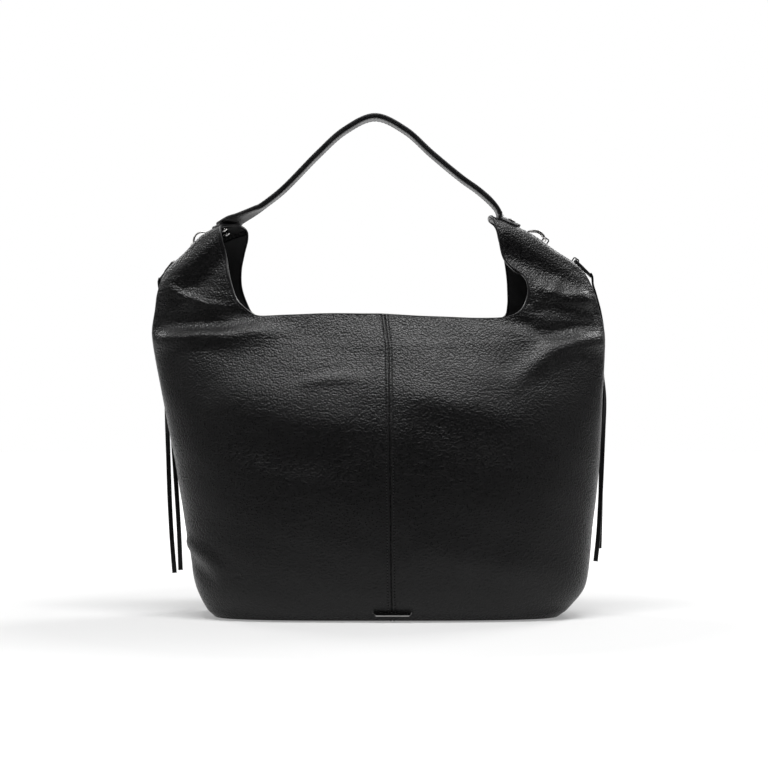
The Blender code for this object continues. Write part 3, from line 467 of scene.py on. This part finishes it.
def skin(points, closed=False):
    """A grid primitive laid on rows of points, in mm; its UV map runs in metres."""
    rows, columns = points.shape[:2]
    bpy.ops.object.select_all(action="DESELECT")
    bpy.ops.mesh.primitive_grid_add(x_subdivisions=columns - 1, y_subdivisions=rows - 1, size=1)
    thing = bpy.context.object
    thing.data.vertices.foreach_set("co", (points.reshape(-1, 3) * MM).ravel())
    steps = np.linalg.norm(np.diff(points, axis=1), axis=-1).mean(axis=0)
    rises = np.linalg.norm(np.diff(points, axis=0), axis=-1).mean(axis=1)
    u, v = np.append(0, np.cumsum(steps)) * MM, np.append(0, np.cumsum(rises)) * MM
    uv = np.zeros(2 * len(thing.data.loops))
    thing.data.uv_layers.active.uv.foreach_get("vector", uv)
    uv = uv.reshape(-1, 2)
    column = np.rint(uv[:, 0] * (columns - 1)).astype(int)
    row = np.rint(uv[:, 1] * (rows - 1)).astype(int)
    thing.data.uv_layers.active.uv.foreach_set("vector", np.stack([u[column], v[row]], 1).ravel())
    if closed:
        edit_all(thing, JOIN_DOUBLES)
    thing.data.update()
    return thing


def thicken(thing, thickness, offset=-1):
    """Gives a skin its thickness inwards, with closed edges."""
    wall = thing.modifiers.new("wall", "SOLIDIFY")
    wall.thickness = thickness * MM
    wall.offset = offset
    wall.use_even_offset = False
    apply_modifiers(thing)


def tube(path, ring, caps=True):
    """A swept skin: `ring` is (points, 2) or one per step, in the frames of `path`."""
    centre, across, up = path
    rings = np.broadcast_to(ring, (len(centre), *ring.shape[-2:]))
    points = centre[:, None] + rings[..., :1] * across[:, None] + rings[..., 1:] * up[:, None]
    points = np.concatenate([points, points[:, :1]], axis=1)
    thing = skin(points, closed=True)
    if caps:
        edit_all(thing, SELECT_NONE, *CLOSE_ENDS, SELECT_ALL, NORMALS_OUT)
    return thing


def along(points, pitch):
    """Even steps of about `pitch` along a line of points: places and positions from 0 to 1."""
    steps = np.linalg.norm(np.diff(points, axis=0), axis=1)
    walked = np.append(0, np.cumsum(steps))
    count = max(2, int(round(walked[-1] / pitch)))
    wanted = np.linspace(0, walked[-1], count + 1)
    at = np.stack([np.interp(wanted, walked, points[:, k]) for k in range(3)], 1)
    return at, wanted, walked


def stitches(name, line, normal, rides="bag", pitch=3.3, length=2.4, width=0.62, material=None,
             shift=0.0):
    """A row of stitches along a line on a surface, one small bead of thread each."""
    places, wanted, walked = along(line, pitch)
    normals = unit(np.stack([np.interp(wanted, walked, normal[:, k]) for k in range(3)], 1))
    bpy.ops.object.select_all(action="DESELECT")
    bpy.ops.mesh.primitive_uv_sphere_add(segments=8, ring_count=5, radius=0.5)
    bead = bpy.context.object
    shape = np.array([v.co for v in bead.data.vertices])
    faces = [list(p.vertices) for p in bead.data.polygons]
    bpy.data.objects.remove(bead)
    middle = (places[1:] + places[:-1]) / 2 + (places[1:] - places[:-1]) * shift
    tangent = unit(places[1:] - places[:-1])
    up = unit((normals[1:] + normals[:-1]) / 2)
    side = unit(np.cross(up, tangent))
    size = np.array([length, width, width * 0.6])
    local = shape * size
    points = (
        middle[:, None] + local[None, :, :1] * tangent[:, None]
        + local[None, :, 1:2] * side[:, None] + local[None, :, 2:] * up[:, None]
    )
    mesh = bpy.data.meshes.new(name)
    count = len(shape)
    all_faces = [[v + k * count for v in face] for k in range(len(middle)) for face in faces]
    mesh.from_pydata((points.reshape(-1, 3) * MM).tolist(), [], all_faces)
    thing = bpy.data.objects.new(name, mesh)
    bpy.context.scene.collection.objects.link(thing)
    return finish_piece(thing, name, material or THREAD, rides, angle=80)


# ---- folds ----
# Each fold is (height, half width, line of (x, z)), in mm, on the face that it marks. A
# negative height is a hollow.
FOLDS = {
    "front": (
        (4.2, 8, ((-205, 240), (-160, 245), (-119, 247), (-60, 250))),
        (-4.5, 11, ((-204, 262), (-150, 258), (-95, 262))),
        (4.6, 9, ((206, 244), (170, 239), (150, 231), (104, 196))),
        (-5.0, 10, ((206, 262), (165, 254), (128, 244))),
        (2.0, 3.4, ((-188, 291), (-172, 281), (-150, 273), (-128, 271), (-98, 276))),
        (-1.6, 10, ((-186, 296), (-150, 290), (-110, 284))),
        (2.6, 7, ((135, 292), (160, 281), (199, 274))),
        (-2.6, 8, ((205, 268), (172, 266), (130, 276))),
        (1.6, 5, ((160, 300), (150, 280), (120, 262))),
        (4.8, 10, ((92, 344), (112, 334), (140, 320), (166, 304), (188, 284), (200, 262))),
        (-4.6, 13, ((96, 322), (118, 312), (145, 298), (170, 284), (196, 262))),
        (4.2, 10, ((-124, 346), (-138, 334), (-152, 320), (-172, 303), (-190, 282), (-202, 258))),
        (-3.8, 12, ((-122, 330), (-142, 308), (-160, 292), (-182, 272), (-200, 250))),
        (-0.9, 2.5, ((-78, 210), (-60, 211), (-40, 215), (-4, 216))),
        (1.2, 5, ((-70, 205), (-40, 209), (-5, 210))),
        (2.4, 6, ((-172, 68), (-148, 54), (-126, 36))),
        (-2.2, 6, ((-176, 60), (-156, 44), (-134, 26))),
        (1.6, 14, ((20, 66), (100, 44), (170, 40))),
        (1.6, 16, ((-150, 200), (-70, 170), (20, 160))),
        (-1.6, 16, ((-160, 164), (-70, 140), (20, 136))),
        (1.4, 14, ((20, 196), (110, 176), (180, 182))),
    ),
    "back": (
        (4.5, 9, ((-198, 244), (-150, 240), (-90, 246))),
        (-4.5, 11, ((-188, 258), (-150, 256), (-118, 260))),
        (4.5, 9, ((197, 243), (160, 236), (120, 226), (60, 232))),
        (-4.0, 11, ((186, 257), (150, 252), (122, 250))),
        (2.6, 7, ((-172, 284), (-150, 274), (-128, 272))),
        (2.6, 7, ((176, 284), (156, 276), (134, 277))),
        (2.0, 8, ((-150, 66), (-130, 50), (-100, 44))),
        (1.6, 16, ((-80, 180), (-30, 168), (50, 172))),
        (-1.5, 15, ((-70, 150), (0, 140), (70, 146))),
    ),
}


def near_line(x, z, line):
    """Distance of each point to a line of (x, z) points, and how far along it that is."""
    best, share = np.full(x.shape, 1e9), np.zeros(x.shape)
    spans = [math.hypot(x1 - x0, z1 - z0) for (x0, z0), (x1, z1) in zip(line, line[1:])]
    walked = 0.0
    for (x0, z0), (x1, z1), span in zip(line, line[1:], spans):
        dx, dz = x1 - x0, z1 - z0
        f = np.clip(((x - x0) * dx + (z - z0) * dz) / span**2, 0, 1)
        distance = np.hypot(x - x0 - f * dx, z - z0 - f * dz)
        share = np.where(distance < best, (walked + f * span) / sum(spans), share)
        best = np.minimum(best, distance)
        walked += span
    return best, share


def slack(points, face):
    """How far the soft leather stands off the plain form: its folds and its gentle waves."""
    x, y, z = points[..., 0], points[..., 1], points[..., 2]
    lift = np.zeros(x.shape)
    for height, width, line in FOLDS[face]:
        distance, share = near_line(x, z, line)
        fade = np.clip(share / 0.15, 0, 1) * np.clip((1 - share) / 0.5, 0, 1)
        lift += height * np.exp(-((distance / width) ** 2)) * fade * fade * (3 - 2 * fade)
    phase = 0.0 if face == "front" else 1.7
    lift += 0.55 * np.sin(x / 23 + 1.1 * np.sin(z / 41) + phase) * np.sin(z / 29 + 0.8 + phase)
    lift += 0.30 * np.sin(x / 11 + z / 17 + 2 * phase) * np.sin(z / 9 - x / 31)
    # Small drapery wrinkles where the body bends in under the shoulders.
    waist = np.exp(-(((z - 258) / 22) ** 2)) * np.clip((abs(x) - 95) / 40, 0, 1)
    lift += 0.8 * waist * np.sin(z / 3.4 + x / 26 + 1.5 * np.sin(x / 19))
    to_ridge = 1 - np.exp(-((y / 13) ** 2))
    to_floor = np.clip((z - 4) / 14, 0, 1)
    lift = lift * to_ridge * to_floor
    if face == "back":
        # The leather behind the right zip stands a little proud of that before it.
        along_zip = np.clip((x - 138) / 12, 0, 1) * np.clip((192 - x) / 10, 0, 1) * (z > 285)
        lift += 1.9 * along_zip * np.exp(-(((y - 5) / 7) ** 2))
    return lift


def slack_round(points, on_front):
    """The folds all the way round the bag."""
    return np.where(on_front, slack(points, "front"), slack(points, "back"))


def slot_stitches():
    """A row of stitches along each edge of the two zip slots."""
    for side, ridge in (("right", 90), ("left", 270)):
        heights = np.linspace(ZIP_LOW - 0.15, ZIP_HIGH + 0.15, 60)
        for face in ("front", "back"):
            wanted = -(ZIP_SLOT + 2.2) if face == "front" else ZIP_SLOT + 2.2
            to_low = (side == "right") == (face == "front")
            low, high = (ridge - 40, ridge) if to_low else (ridge, ridge + 40)
            angles = angle_where(heights, low, high, wanted, 1)
            line, out = surface_point(angles, heights, face, lift=np.full(heights.shape, 0.05))
            stitches(f"slot_stitches_{face}_{side}", line, out)


def seam_x(height):
    return SEAM_BOTTOM + (SEAM_TOP - SEAM_BOTTOM) * height / TOP


# Across from the seam, and from stitch to stitch.
SEAM_STITCH, SEAM_PITCH = 2.9, 2.6
HALF_SEAM = (0.15, 0.4, 0.7, 1.1, 1.6, 2.1, 2.45, 2.7, 2.9, 3.1, 3.35, 3.7, 4.3, 5.1, 6.2)
SEAM_OFFSETS = tuple(-v for v in HALF_SEAM[::-1]) + HALF_SEAM


def shell_angles(face, heights, clearance, side_columns=96):
    """Angles of a face, row by row: dense near the shoulders and round the centre seam."""
    middle = 0 if face == "front" else 180
    turn = 1 if face == "front" else -1
    wanted = -clearance if face == "front" else clearance
    ends = []
    for step in (-1, 1):
        far = middle + step * 90
        near = far - step * 40
        low, high = (near, far) if step > 0 else (far, near)
        ends.append(angle_where(heights, low, high, wanted, 1))
    seam = seam_x(heights)
    offsets = np.array(SEAM_OFFSETS if face == "front" else SEAM_OFFSETS[::-1], float)
    centre = angle_where(heights[:, None], middle - 25, middle + 25, seam[:, None] + offsets, 0)
    spread = np.linspace(0, 1, side_columns + 1)
    spread = spread + 0.10 * np.sin(math.pi * spread)  # closer together near the ridge
    spread = spread / spread[-1]
    left = centre[:, :1] + (ends[0][:, None] - centre[:, :1]) * spread
    right = centre[:, -1:] + (ends[1][:, None] - centre[:, -1:]) * spread
    return np.concatenate([left[:, :0:-1], centre, right[:, 1:]], axis=1)


def grid_normals(points):
    around = np.gradient(points, axis=1)
    up = np.gradient(points, axis=0)
    return unit(np.cross(around, up))


def shell_heights():
    """Rows of the outer shell: even, with more at the foot, at the slots' ends and the rim."""
    rows = joined((0, 1, 7), (1, CREASE, 62), (CREASE, TOP, 74))
    extra = np.array([ZIP_LOW - 0.12, ZIP_LOW - 0.02, ZIP_LOW, ZIP_HIGH, ZIP_HIGH + 0.12, TOP - 0.03])
    return np.unique(np.round(np.concatenate([rows, extra]), 4))


def slot_clearance(heights):
    """Half the space along the shoulder line at each height, wide where the zip is."""
    up = np.clip((heights - (ZIP_LOW - 0.12)) / 0.12, 0, 1)
    down = np.clip((ZIP_HIGH + 0.12 - heights) / 0.12, 0, 1)
    return 0.2 + (ZIP_SLOT - 0.2) * np.minimum(up, down)


def outer_shells():
    """The two faces of the body, each in one skin with its centre seam pressed in."""
    heights = shell_heights()
    for face in ("front", "back"):
        angles = shell_angles(face, heights, slot_clearance(heights))
        rows = np.repeat(heights[:, None], angles.shape[1], 1)
        base = body(angles, rows)
        normals = grid_normals(base)
        off_seam = base[..., 0] - seam_x(rows)
        groove = -0.8 * np.exp(-((off_seam / 0.4) ** 2))
        groove += 0.35 * np.exp(-(((abs(off_seam) - 1.4) / 1.0) ** 4))
        groove -= 0.28 * np.exp(-(((abs(off_seam) - SEAM_STITCH) / 0.4) ** 2))
        points = base + normals * (slack(base, face) + groove)[..., None]
        thing = skin(points)
        thicken(thing, LEATHER)
        piece = finish_piece(thing, f"body_leather_{face}", PEBBLED, "bag", angle=50)
        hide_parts(f"{face}_panel_left", f"{face}_panel_right")
        for name, offset in (("left", -SEAM_STITCH), ("right", SEAM_STITCH)):
            column = np.argmin(abs(off_seam - offset), axis=1)
            pick = np.arange(len(heights))
            keep = heights > 0.35
            out = normals[pick, column][keep]
            line = points[pick, column][keep] + out * 0.1
            stitches(f"seam_stitches_{face}_{name}", line, out, pitch=SEAM_PITCH, length=1.9)
            # Near-black beads between the stitches: painted shade in the needle holes.
            stitches(f"seam_holes_{face}_{name}", line, out, pitch=SEAM_PITCH, length=1.1,
                     width=1.2, material=NEEDLE_HOLE_SHADE, shift=0.5)


def surface_point(angle, height, face, lift=0.0):
    """Points on the dressed outer face, folds included, and its normals."""
    base = body(angle, height)
    normal = body_normal(angle, height)
    return base + normal * (slack(base, face) + lift)[..., None], normal


def rim():
    """The painted edge round the mouth, over leather and facing, with its row of stitches."""
    angles = joined((0, 60, 40), (60, 120, 110), (120, 240, 60), (240, 300, 110), (300, 360, 40))[:-1]
    edge = body(angles, TOP)
    below = body(angles, TOP - 0.12)
    normal = body_normal(angles, TOP)
    lift = slack_round(edge, np.cos(np.radians(angles)) > 0)
    rise = unit(edge - below)
    side = unit(np.cross(rise, np.roll(edge, -1, 0) - np.roll(edge, 1, 0)))
    side = np.where((side * normal).sum(1, keepdims=True) < 0, -side, side)
    centre = edge + normal * lift[:, None] - side * (LEATHER + GAP + FACING) / 2 - rise * 0.45
    turn = np.linspace(0, 2 * math.pi, 14, endpoint=False)
    ring = np.stack([np.cos(turn) * 1.75, np.sin(turn) * 1.3], 1)
    loop = np.append(np.arange(len(angles)), 0)
    thing = tube((centre[loop], side[loop], rise[loop]), ring, caps=False)
    edit_all(thing, JOIN_DOUBLES, NORMALS_OUT)
    finish_piece(thing, "mouth_edge", EDGE_PAINT, "bag", angle=60)
    for face, first, last in (("front", -86.5, 86.5), ("back", 93.5, 266.5)):
        sweep = joined((first, first + 30, 60), (first + 30, last - 30, 80), (last - 30, last, 60))
        length = np.linalg.norm(body(sweep, TOP) - body(sweep, TOP - 1), axis=1)
        line, out = surface_point(sweep, TOP - 3.0 / length, face, lift=np.full(sweep.shape, 0.05))
        stitches(f"mouth_stitches_{face}", line, out)


def inside():
    """Facing and lining, each a thin skin under the outer leather."""
    for face in ("front", "back"):
        middle = 0 if face == "front" else 180
        angles = middle + joined((-84, -50, 40), (-50, 50, 50), (50, 84, 40))
        heights = np.linspace(8.1, TOP, 40)
        base = body(angles[None], heights[:, None])
        normals = grid_normals(base)
        drop = slack(base, face) - (LEATHER + GAP)
        thing = skin(base + normals * drop[..., None])
        thicken(thing, FACING)
        # The facing wears the leather painted lighter, as painted light inside the mouth.
        piece = finish_piece(thing, f"mouth_facing_leather_{face}", FACING_PAINTED_LIGHT, "bag")
        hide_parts(f"mouth_facing_{face}")
    angles = np.linspace(0, 360, 181)
    heights = np.linspace(0.85, 8.05, 70)
    base = body(angles[None], heights[:, None])
    normals = grid_normals(base)
    depth = LEATHER + GAP + LINING / 2 - slack_round(base, np.cos(np.radians(angles)) > 0)
    folds = 0.9 * (1 + np.sin(np.radians(angles) * 24 + 0.9 * np.sin(heights[:, None] * 1.9)))
    folds = folds * np.clip((8.05 - heights[:, None]) / 0.8, 0, 1)
    wall = base - normals * (depth + folds)[..., None]
    floor_z = 6.0
    shares = np.linspace(0.04, 0.97, 14)[:, None, None]
    floor = wall[:1] * shares
    floor[..., 2] = floor_z + 0.5 * np.sin(floor[..., 0] / 17) * np.sin(floor[..., 1] / 13)
    thing = skin(np.concatenate([floor, wall]), closed=True)
    thicken(thing, 0.5)
    piece = finish_piece(thing, "lining_bag", CLOTH, "bag")
    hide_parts("lining_front", "lining_back", "lining_base")


def base_leather():
    """The leather under the bag, with a rounded edge where it meets the body."""
    angles = np.linspace(0, 360, 161)
    outline = body(angles, 0.0)
    normal = body_normal(angles, 0.0)
    flat = unit(normal * np.array([1, 1, 0]))
    outline = outline - flat * (LEATHER * 0.75 + GAP)
    shares = np.concatenate([np.linspace(0.03, 0.985, 30), [0.992, 0.997, 1.0]])
    points = outline[None] * shares[:, None, None]
    points[..., 2] = 0.02
    points[-2, :, 2], points[-1, :, 2] = 0.12, 0.5
    thing = skin(points, closed=True)
    thicken(thing, 1.6)
    piece = finish_piece(thing, "base_leather", PEBBLED, "bag")
    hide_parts("base_panel")


def name_plate():
    """The bare plate: an upright polished face over a bevel that runs under it to the leather."""
    low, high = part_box("name_plate")
    middle, front = (low[0] + high[0]) / 2, low[1]
    bpy.ops.object.select_all(action="DESELECT")
    bpy.ops.mesh.primitive_cube_add(size=1)
    plate = bpy.context.object
    top, bottom, bevel = 0.0081, 0.0046, 0.0056      # heights, in metres
    wide, narrow = (high[0] - low[0]) / 2, (high[0] - low[0]) / 2 - 0.0028
    for vertex in plate.data.vertices:
        x, y, z = vertex.co
        reach = wide if z > 0 else narrow
        back = 0.0012 if z > 0 else 0.0026
        # The top falls towards the back, so it isn't seen from the front.
        above = top - (0.0006 if y > 0 else 0.0)
        vertex.co = (middle + math.copysign(reach, x), front - 0.0001 if y < 0 else front + back,
                     above if z > 0 else bottom)
    edit_all(plate, (bpy.ops.mesh.bisect, {"plane_co": (0, 0, bevel), "plane_no": (0, 0, 1)}))
    for vertex in plate.data.vertices:
        if vertex.co.y < front:
            if vertex.co.z < bottom + 0.0001:
                vertex.co.y += 0.0012
            elif vertex.co.z < bevel + 0.0001:
                vertex.co.y -= 0.0006
    plate.modifiers.new("worn edges", "BEVEL").width = 0.00005
    apply_modifiers(plate)
    piece = finish_piece(plate, "name_plate_metal", PLATE_FINISH, "bag", angle=20)
    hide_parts("name_plate")


# ---- strap ----
def strap_end(side):
    """Rows of one end, from its tip up: place, direction across and half thickness."""
    tip, down, across, normal, _ = ridge_frame(side, TOP, TOP - 1)
    start, end = TAB_SPAN[side]
    sink, thin = TAB_TAPER[side]
    rows = []
    for share in (1.0, 0.5, 0.0):
        lift = TAB_SEAT + TAB_THICKNESS / 2 - sink * share
        rows.append((tip + down * (start + (end - start) * share) + normal * lift,
                     across, TAB_THICKNESS / 2 - thin * share))
    for k, (x, z) in enumerate(ROOT_ROUTES[side]):
        part = (k + 1) / 4
        rows.append((np.array([x, 0, z]), unit(across * (1 - part) + UPRIGHT * part),
                     (TAB_THICKNESS * (1 - part) + STRAP_THICKNESS * part) / 2))
    return rows


def strap():
    """The strap in one length, from the riveted end at the left to the one at the right."""
    middle = [(np.array([x, 0, z]), UPRIGHT, STRAP_THICKNESS / 2) for x, z in STRAP_ROUTE]
    rows = strap_end("left") + middle + strap_end("right")[::-1]
    places = np.array([row[0] for row in rows])
    walked = np.append(0, np.cumsum(np.linalg.norm(np.diff(places, axis=0), axis=1)))
    keys = np.column_stack([walked, places, [row[1] for row in rows], [row[2] for row in rows]])
    where = np.linspace(0, walked[-1], 220)
    read = smooth(keys, where)
    centre, across, half = read[:, :3], unit(read[:, 3:6]), read[:, 6:7]
    forward = unit(np.gradient(centre, axis=0))
    across = unit(across - forward * (across * forward).sum(1, keepdims=True))
    up = unit(np.cross(forward, across))
    up = np.where(up[:, 2:] < 0, -up, up)
    # Section: a flat band with rounded painted edges and a slight crown, its ends rounded.
    from_end = np.minimum(where, walked[-1] - where)
    narrow = np.where(from_end < 4, np.sqrt(np.clip(1 - ((4 - from_end) / 4) ** 2, 0.3, 1)), 1)
    wide = STRAP_WIDTH / 2 * narrow[:, None]
    profile = np.array([
        (-0.975, 0), (-1, -0.12), (-1, -0.5), (-0.97, -0.85), (-0.90, -1), (-0.6, -1.02), (-0.2, -1.04),
        (0.2, -1.04), (0.6, -1.02), (0.90, -1), (0.97, -0.85), (1, -0.5), (1, -0.12), (0.975, 0),
        (1, 0.12), (1, 0.5), (0.97, 0.85), (0.90, 1), (0.6, 1.05), (0.2, 1.1), (-0.2, 1.1),
        (-0.6, 1.05), (-0.90, 1), (-0.97, 0.85), (-1, 0.5), (-1, 0.12),
    ])
    ring = np.stack([profile[None, :, 0] * wide, profile[None, :, 1] * half], -1)
    ring[..., 1] -= seat_drop(centre, across, up, ring[..., 0], where, walked)
    thing = tube((centre, across, up), ring)
    piece = finish_piece(thing, "strap_leather", STRAP_FINISH, None, angle=35)
    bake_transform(piece)
    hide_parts("strap_outer", "strap_backing", "strap_root_left", "strap_root_right",
                "strap_tab_left", "strap_tab_right")
    for name, row_side in (("front", -1), ("back", 1)):
        for layer, sign in (("upper", 1), ("under", -1)):
            inset = row_side * (STRAP_WIDTH / 2 - 2.6)
            line = centre + across * inset + up * sign * half * 1.01
            row = stitches(f"strap_stitches_{layer}_{name}", line[4:-4], (up * sign)[4:-4], rides=None)
            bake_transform(row)


def seat_drop(centre, across, up, reach, where, walked):
    """How far the strap's ends bend down at each point of their width to lie on the shoulders."""
    drop = np.zeros(reach.shape)
    for side, at_start in (("left", True), ("right", False)):
        ridge = 270 if side == "left" else 90
        angles, heights = np.meshgrid(np.linspace(ridge - 60, ridge + 60, 241), np.linspace(TOP - 3, TOP, 61))
        cloud = body(angles, heights).reshape(-1, 3)
        span = TAB_SPAN[side][1] - TAB_SPAN[side][0]
        from_end = where if at_start else walked[-1] - where
        for k in np.nonzero(from_end < span + 12)[0]:
            local = cloud - centre[k]
            forward = unit(np.cross(across[k], up[k]))
            near = abs(local @ forward) < 0.9
            y, z = local[near] @ across[k], local[near] @ up[k]
            fade = np.clip(1 - (from_end[k] - span) / 12, 0, 1) ** 2
            for j, wide in enumerate(reach[k]):
                close = abs(y - wide) < 0.9
                if close.any():
                    under = -(TAB_THICKNESS / 2 + TAB_SEAT) - z[close].max() + 0.25
                    at_rivet = 0.35 + 3.0 * np.clip((abs(wide) - 8.5) / 4.0, 0, 1) ** 1.5
                    drop[k, j] = np.clip(under, 0, at_rivet) * fade
    return drop


# ---- laces ----
def hug_body(side, route, rest=1.25):
    """Brings the upper points of a lace's route in until it lies on the shoulder."""
    turn, middle = (1, 90) if side == "right" else (-1, 270)
    angles, heights = np.meshgrid(np.linspace(middle - 45, middle + 45, 181), np.linspace(4.5, TOP - 1, 181))
    base = body(angles, heights)
    normal = body_normal(angles, heights)
    lift = slack_round(base, base[..., 1] < 0)
    cloud = (base + normal * lift[..., None]).reshape(-1, 3)
    for number, point in enumerate(route[1:], 1):
        if point[2] > 195:
            near = np.argsort(np.hypot(cloud[:, 1] - point[1], cloud[:, 2] - point[2]))[:8]
            reach = (cloud[near, 0] * turn).max() + rest
            share = min(1, (number + 0.6) / 2)
            closer = turn * min(point[0] * turn, reach)
            point[0] = point[0] * (1 - share) + closer * share
    return route


def lace(side, number, route):
    """A flat lace, cut square at its end, that hangs from its loop."""
    name = f"lace_{('outer', 'inner')[number]}_{side}"
    route = np.array(route, float)
    in_loop = route[0] + unit(route[0] - route[1]) * LACE_IN_LOOP
    route = hug_body(side, route)
    keys = np.column_stack([np.arange(len(route) + 1), np.vstack([in_loop, route])])
    fine = smooth(keys, np.linspace(0, len(route), 260))
    centre, _, walked = along(fine, 3.0)
    forward = unit(np.gradient(centre, axis=0))
    turn = np.linspace(0, 1, len(centre))
    # Its flat lies on the body at the top and turns to the front further down.
    twist = math.radians(86) * (1 - np.clip((turn - 0.30) / 0.30, 0, 1))
    twist = twist + 0.45 * np.sin(turn * 6 + number) * turn
    twist = twist if side == "right" else math.pi - twist
    flat = np.stack([np.cos(twist), np.sin(twist), np.zeros(len(twist))], 1)
    across = unit(flat - forward * (flat * forward).sum(1, keepdims=True))
    up = unit(np.cross(forward, across))
    w, t = LACE_WIDTH / 2, LACE_THICKNESS / 2
    ring = np.array([(-w, -t * 0.5), (-w * 0.9, -t), (w * 0.9, -t), (w, -t * 0.5), (w, t * 0.5),
                     (w * 0.9, t), (-w * 0.9, t), (-w, t * 0.5)])
    thing = tube((centre, across, up), ring)
    piece = finish_piece(thing, f"{name}_leather", SMOOTH, f"tassel_{side}", angle=40)
    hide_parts(name)
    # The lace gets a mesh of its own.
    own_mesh(piece)


def laces():
    for side, routes in LACE_ROUTES.items():
        for number, route in enumerate(routes):
            lace(side, number, route)


# ---- zips ----
def zip_tapes():
    """The woven tape under each shoulder slot."""
    for side in ("right", "left"):
        top, down, across, normal, length = ridge_frame(side, ZIP_HIGH, ZIP_LOW)
        steps = np.linspace(4.0, length - 2.0, 30)
        reach = np.linspace(-7, 7, 15)
        points = (
            top + steps[:, None, None] * down + reach[None, :, None] * across - normal * 4.25
        )
        if np.cross(across, down).dot(normal) < 0:
            points = points[::-1]
        thing = skin(points)
        thicken(thing, 0.7)
        piece = finish_piece(thing, f"zip_tape_cloth_{side}", TAPE, "bag")
        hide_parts(f"zip_tape_{side}")


# ---- frame nodes that keep their own shape ----
def paint_frame_nodes():
    kinds = (
        (("zip_teeth", "zip_stop", "zip_slider", "ring_pull", "rivet", "snap", "name_plate"), NICKEL),
        (("lace_loop", "strap_patch"), SMOOTH),
        (("base_board",), BOARD),
    )
    for name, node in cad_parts.items():
        for starts, material in kinds:
            if name.startswith(starts):
                for slot in node.material_slots:
                    slot.material = material


# ---- studio ----
def studio_material(name, colour, roughness, near, far):
    """A plain material with white added for the camera, mirrors and glass, more of it far away."""
    made, node, *_ = new_material(name, colour, roughness, specular=0.0)
    place = node("ShaderNodeTexCoord").outputs["Object"]
    distance = node("ShaderNodeVectorMath", {"Vector": place}, operation="LENGTH").outputs["Value"]
    spread = node("ShaderNodeMapRange", {"Value": distance})
    for key, value in (("From Min", 0.3), ("From Max", 1.2), ("To Min", near), ("To Max", far)):
        spread.inputs[key].default_value = value
    white = spread.outputs["Result"]
    shader = made.node_tree.nodes["Principled BSDF"]
    shader.inputs["Emission Color"].default_value = (1, 1, 1, 1)
    rays = node("ShaderNodeLightPath")
    seen = maths(node, "MAXIMUM", rays.outputs["Is Camera Ray"],
                 maths(node, "MAXIMUM", rays.outputs["Is Glossy Ray"], rays.outputs["Is Transmission Ray"]))
    made.node_tree.links.new(maths(node, "MULTIPLY", seen, white), shader.inputs["Emission Strength"])
    return made


def studio_plane(name, place, size, turn, material):
    bpy.ops.object.select_all(action="DESELECT")
    bpy.ops.mesh.primitive_plane_add(size=1, location=place, rotation=turn)
    plane = bpy.context.object
    plane.name = name
    plane.scale = (*size, 1)
    bpy.ops.object.transform_apply(location=False, rotation=False, scale=True)
    plane.data.materials.append(material)
    return plane


def studio():
    """A pale floor, a white surround, a strong soft light before and above, and three weak ones."""
    world = bpy.data.worlds.new("studio")
    bpy.context.scene.world = world
    world.use_nodes = True
    tree = world.node_tree
    lit = tree.nodes["Background"]
    lit.inputs["Color"].default_value = (1, 1, 1, 1)
    lit.inputs["Strength"].default_value = 0.14
    seen = tree.nodes.new("ShaderNodeBackground")
    seen.inputs["Color"].default_value = (1, 1, 1, 1)
    rays = tree.nodes.new("ShaderNodeLightPath")
    white = rays.outputs["Is Camera Ray"]
    for other in ("Is Glossy Ray", "Is Transmission Ray"):
        either = tree.nodes.new("ShaderNodeMath")
        either.operation = "MAXIMUM"
        tree.links.new(white, either.inputs[0])
        tree.links.new(rays.outputs[other], either.inputs[1])
        white = either.outputs[0]
    mix = tree.nodes.new("ShaderNodeMixShader")
    tree.links.new(white, mix.inputs["Fac"])
    tree.links.new(lit.outputs[0], mix.inputs[1])
    tree.links.new(seen.outputs[0], mix.inputs[2])
    tree.links.new(mix.outputs[0], tree.nodes["World Output"].inputs["Surface"])
    studio_plane("studio_floor", (0, 0, -0.001), (9, 9), (0, 0, 0),
                 studio_material("pale_floor", (0.5, 0.5, 0.5), 0.8, 0.30, 1.0))
    # Four dark cards, which only reflections see, keep the leather deep.
    dark = studio_material("dark_card", (0.01, 0.01, 0.01), 0.9, 0.0, 0.0)
    for name, place, size, turn in (
        ("card_behind_camera", (0, -2.6, 0.9), (7, 3.2), (math.radians(90), 0, 0)),
        ("card_before_bag", (0, -1.45, 0.001), (4, 2.26), (0, 0, 0)),
        ("card_at_left", (-1.7, 0.9, 0.45), (3.6, 0.9), (math.radians(90), 0, math.radians(90))),
        ("card_at_right", (1.7, 0.9, 0.45), (3.6, 0.9), (math.radians(90), 0, math.radians(90))),
    ):
        card = studio_plane(name, place, size, turn, dark)
        card.visible_camera = card.visible_diffuse = card.visible_shadow = False
        card.visible_transmission = False
    for name, place, size, power, aim in (
        ("front_light", (0.05, -0.62, 1.85), (1.3, 0.4), 36.0, (0, 0, 0.28)),
        ("top_light", (0.45, 0.45, 1.5), (0.8, 0.4), 3.0, (0.05, 0, 0.3)),
        ("right_light", (1.0, 0.8, 1.35), (0.5, 0.4), 12.0, (0.15, 0, 0.3)),
        ("left_light", (-1.2, 1.0, 1.25), (0.5, 0.4), 8.0, (-0.15, 0, 0.3)),
    ):
        data = bpy.data.lights.new(name, "AREA")
        data.shape = "RECTANGLE"
        data.size, data.size_y = size
        data.energy = power
        lamp = bpy.data.objects.new(name, data)
        lamp.location = place
        lamp.visible_camera = False
        lamp.rotation_euler = (Vector(aim) - Vector(place)).to_track_quat("-Z", "Y").to_euler()
        bpy.context.scene.collection.objects.link(lamp)
    bpy.context.scene.view_settings.view_transform = "Standard"


laces()
outer_shells()
slot_stitches()
rim()
inside()
base_leather()
name_plate()
strap()
zip_tapes()
paint_frame_nodes()
studio()
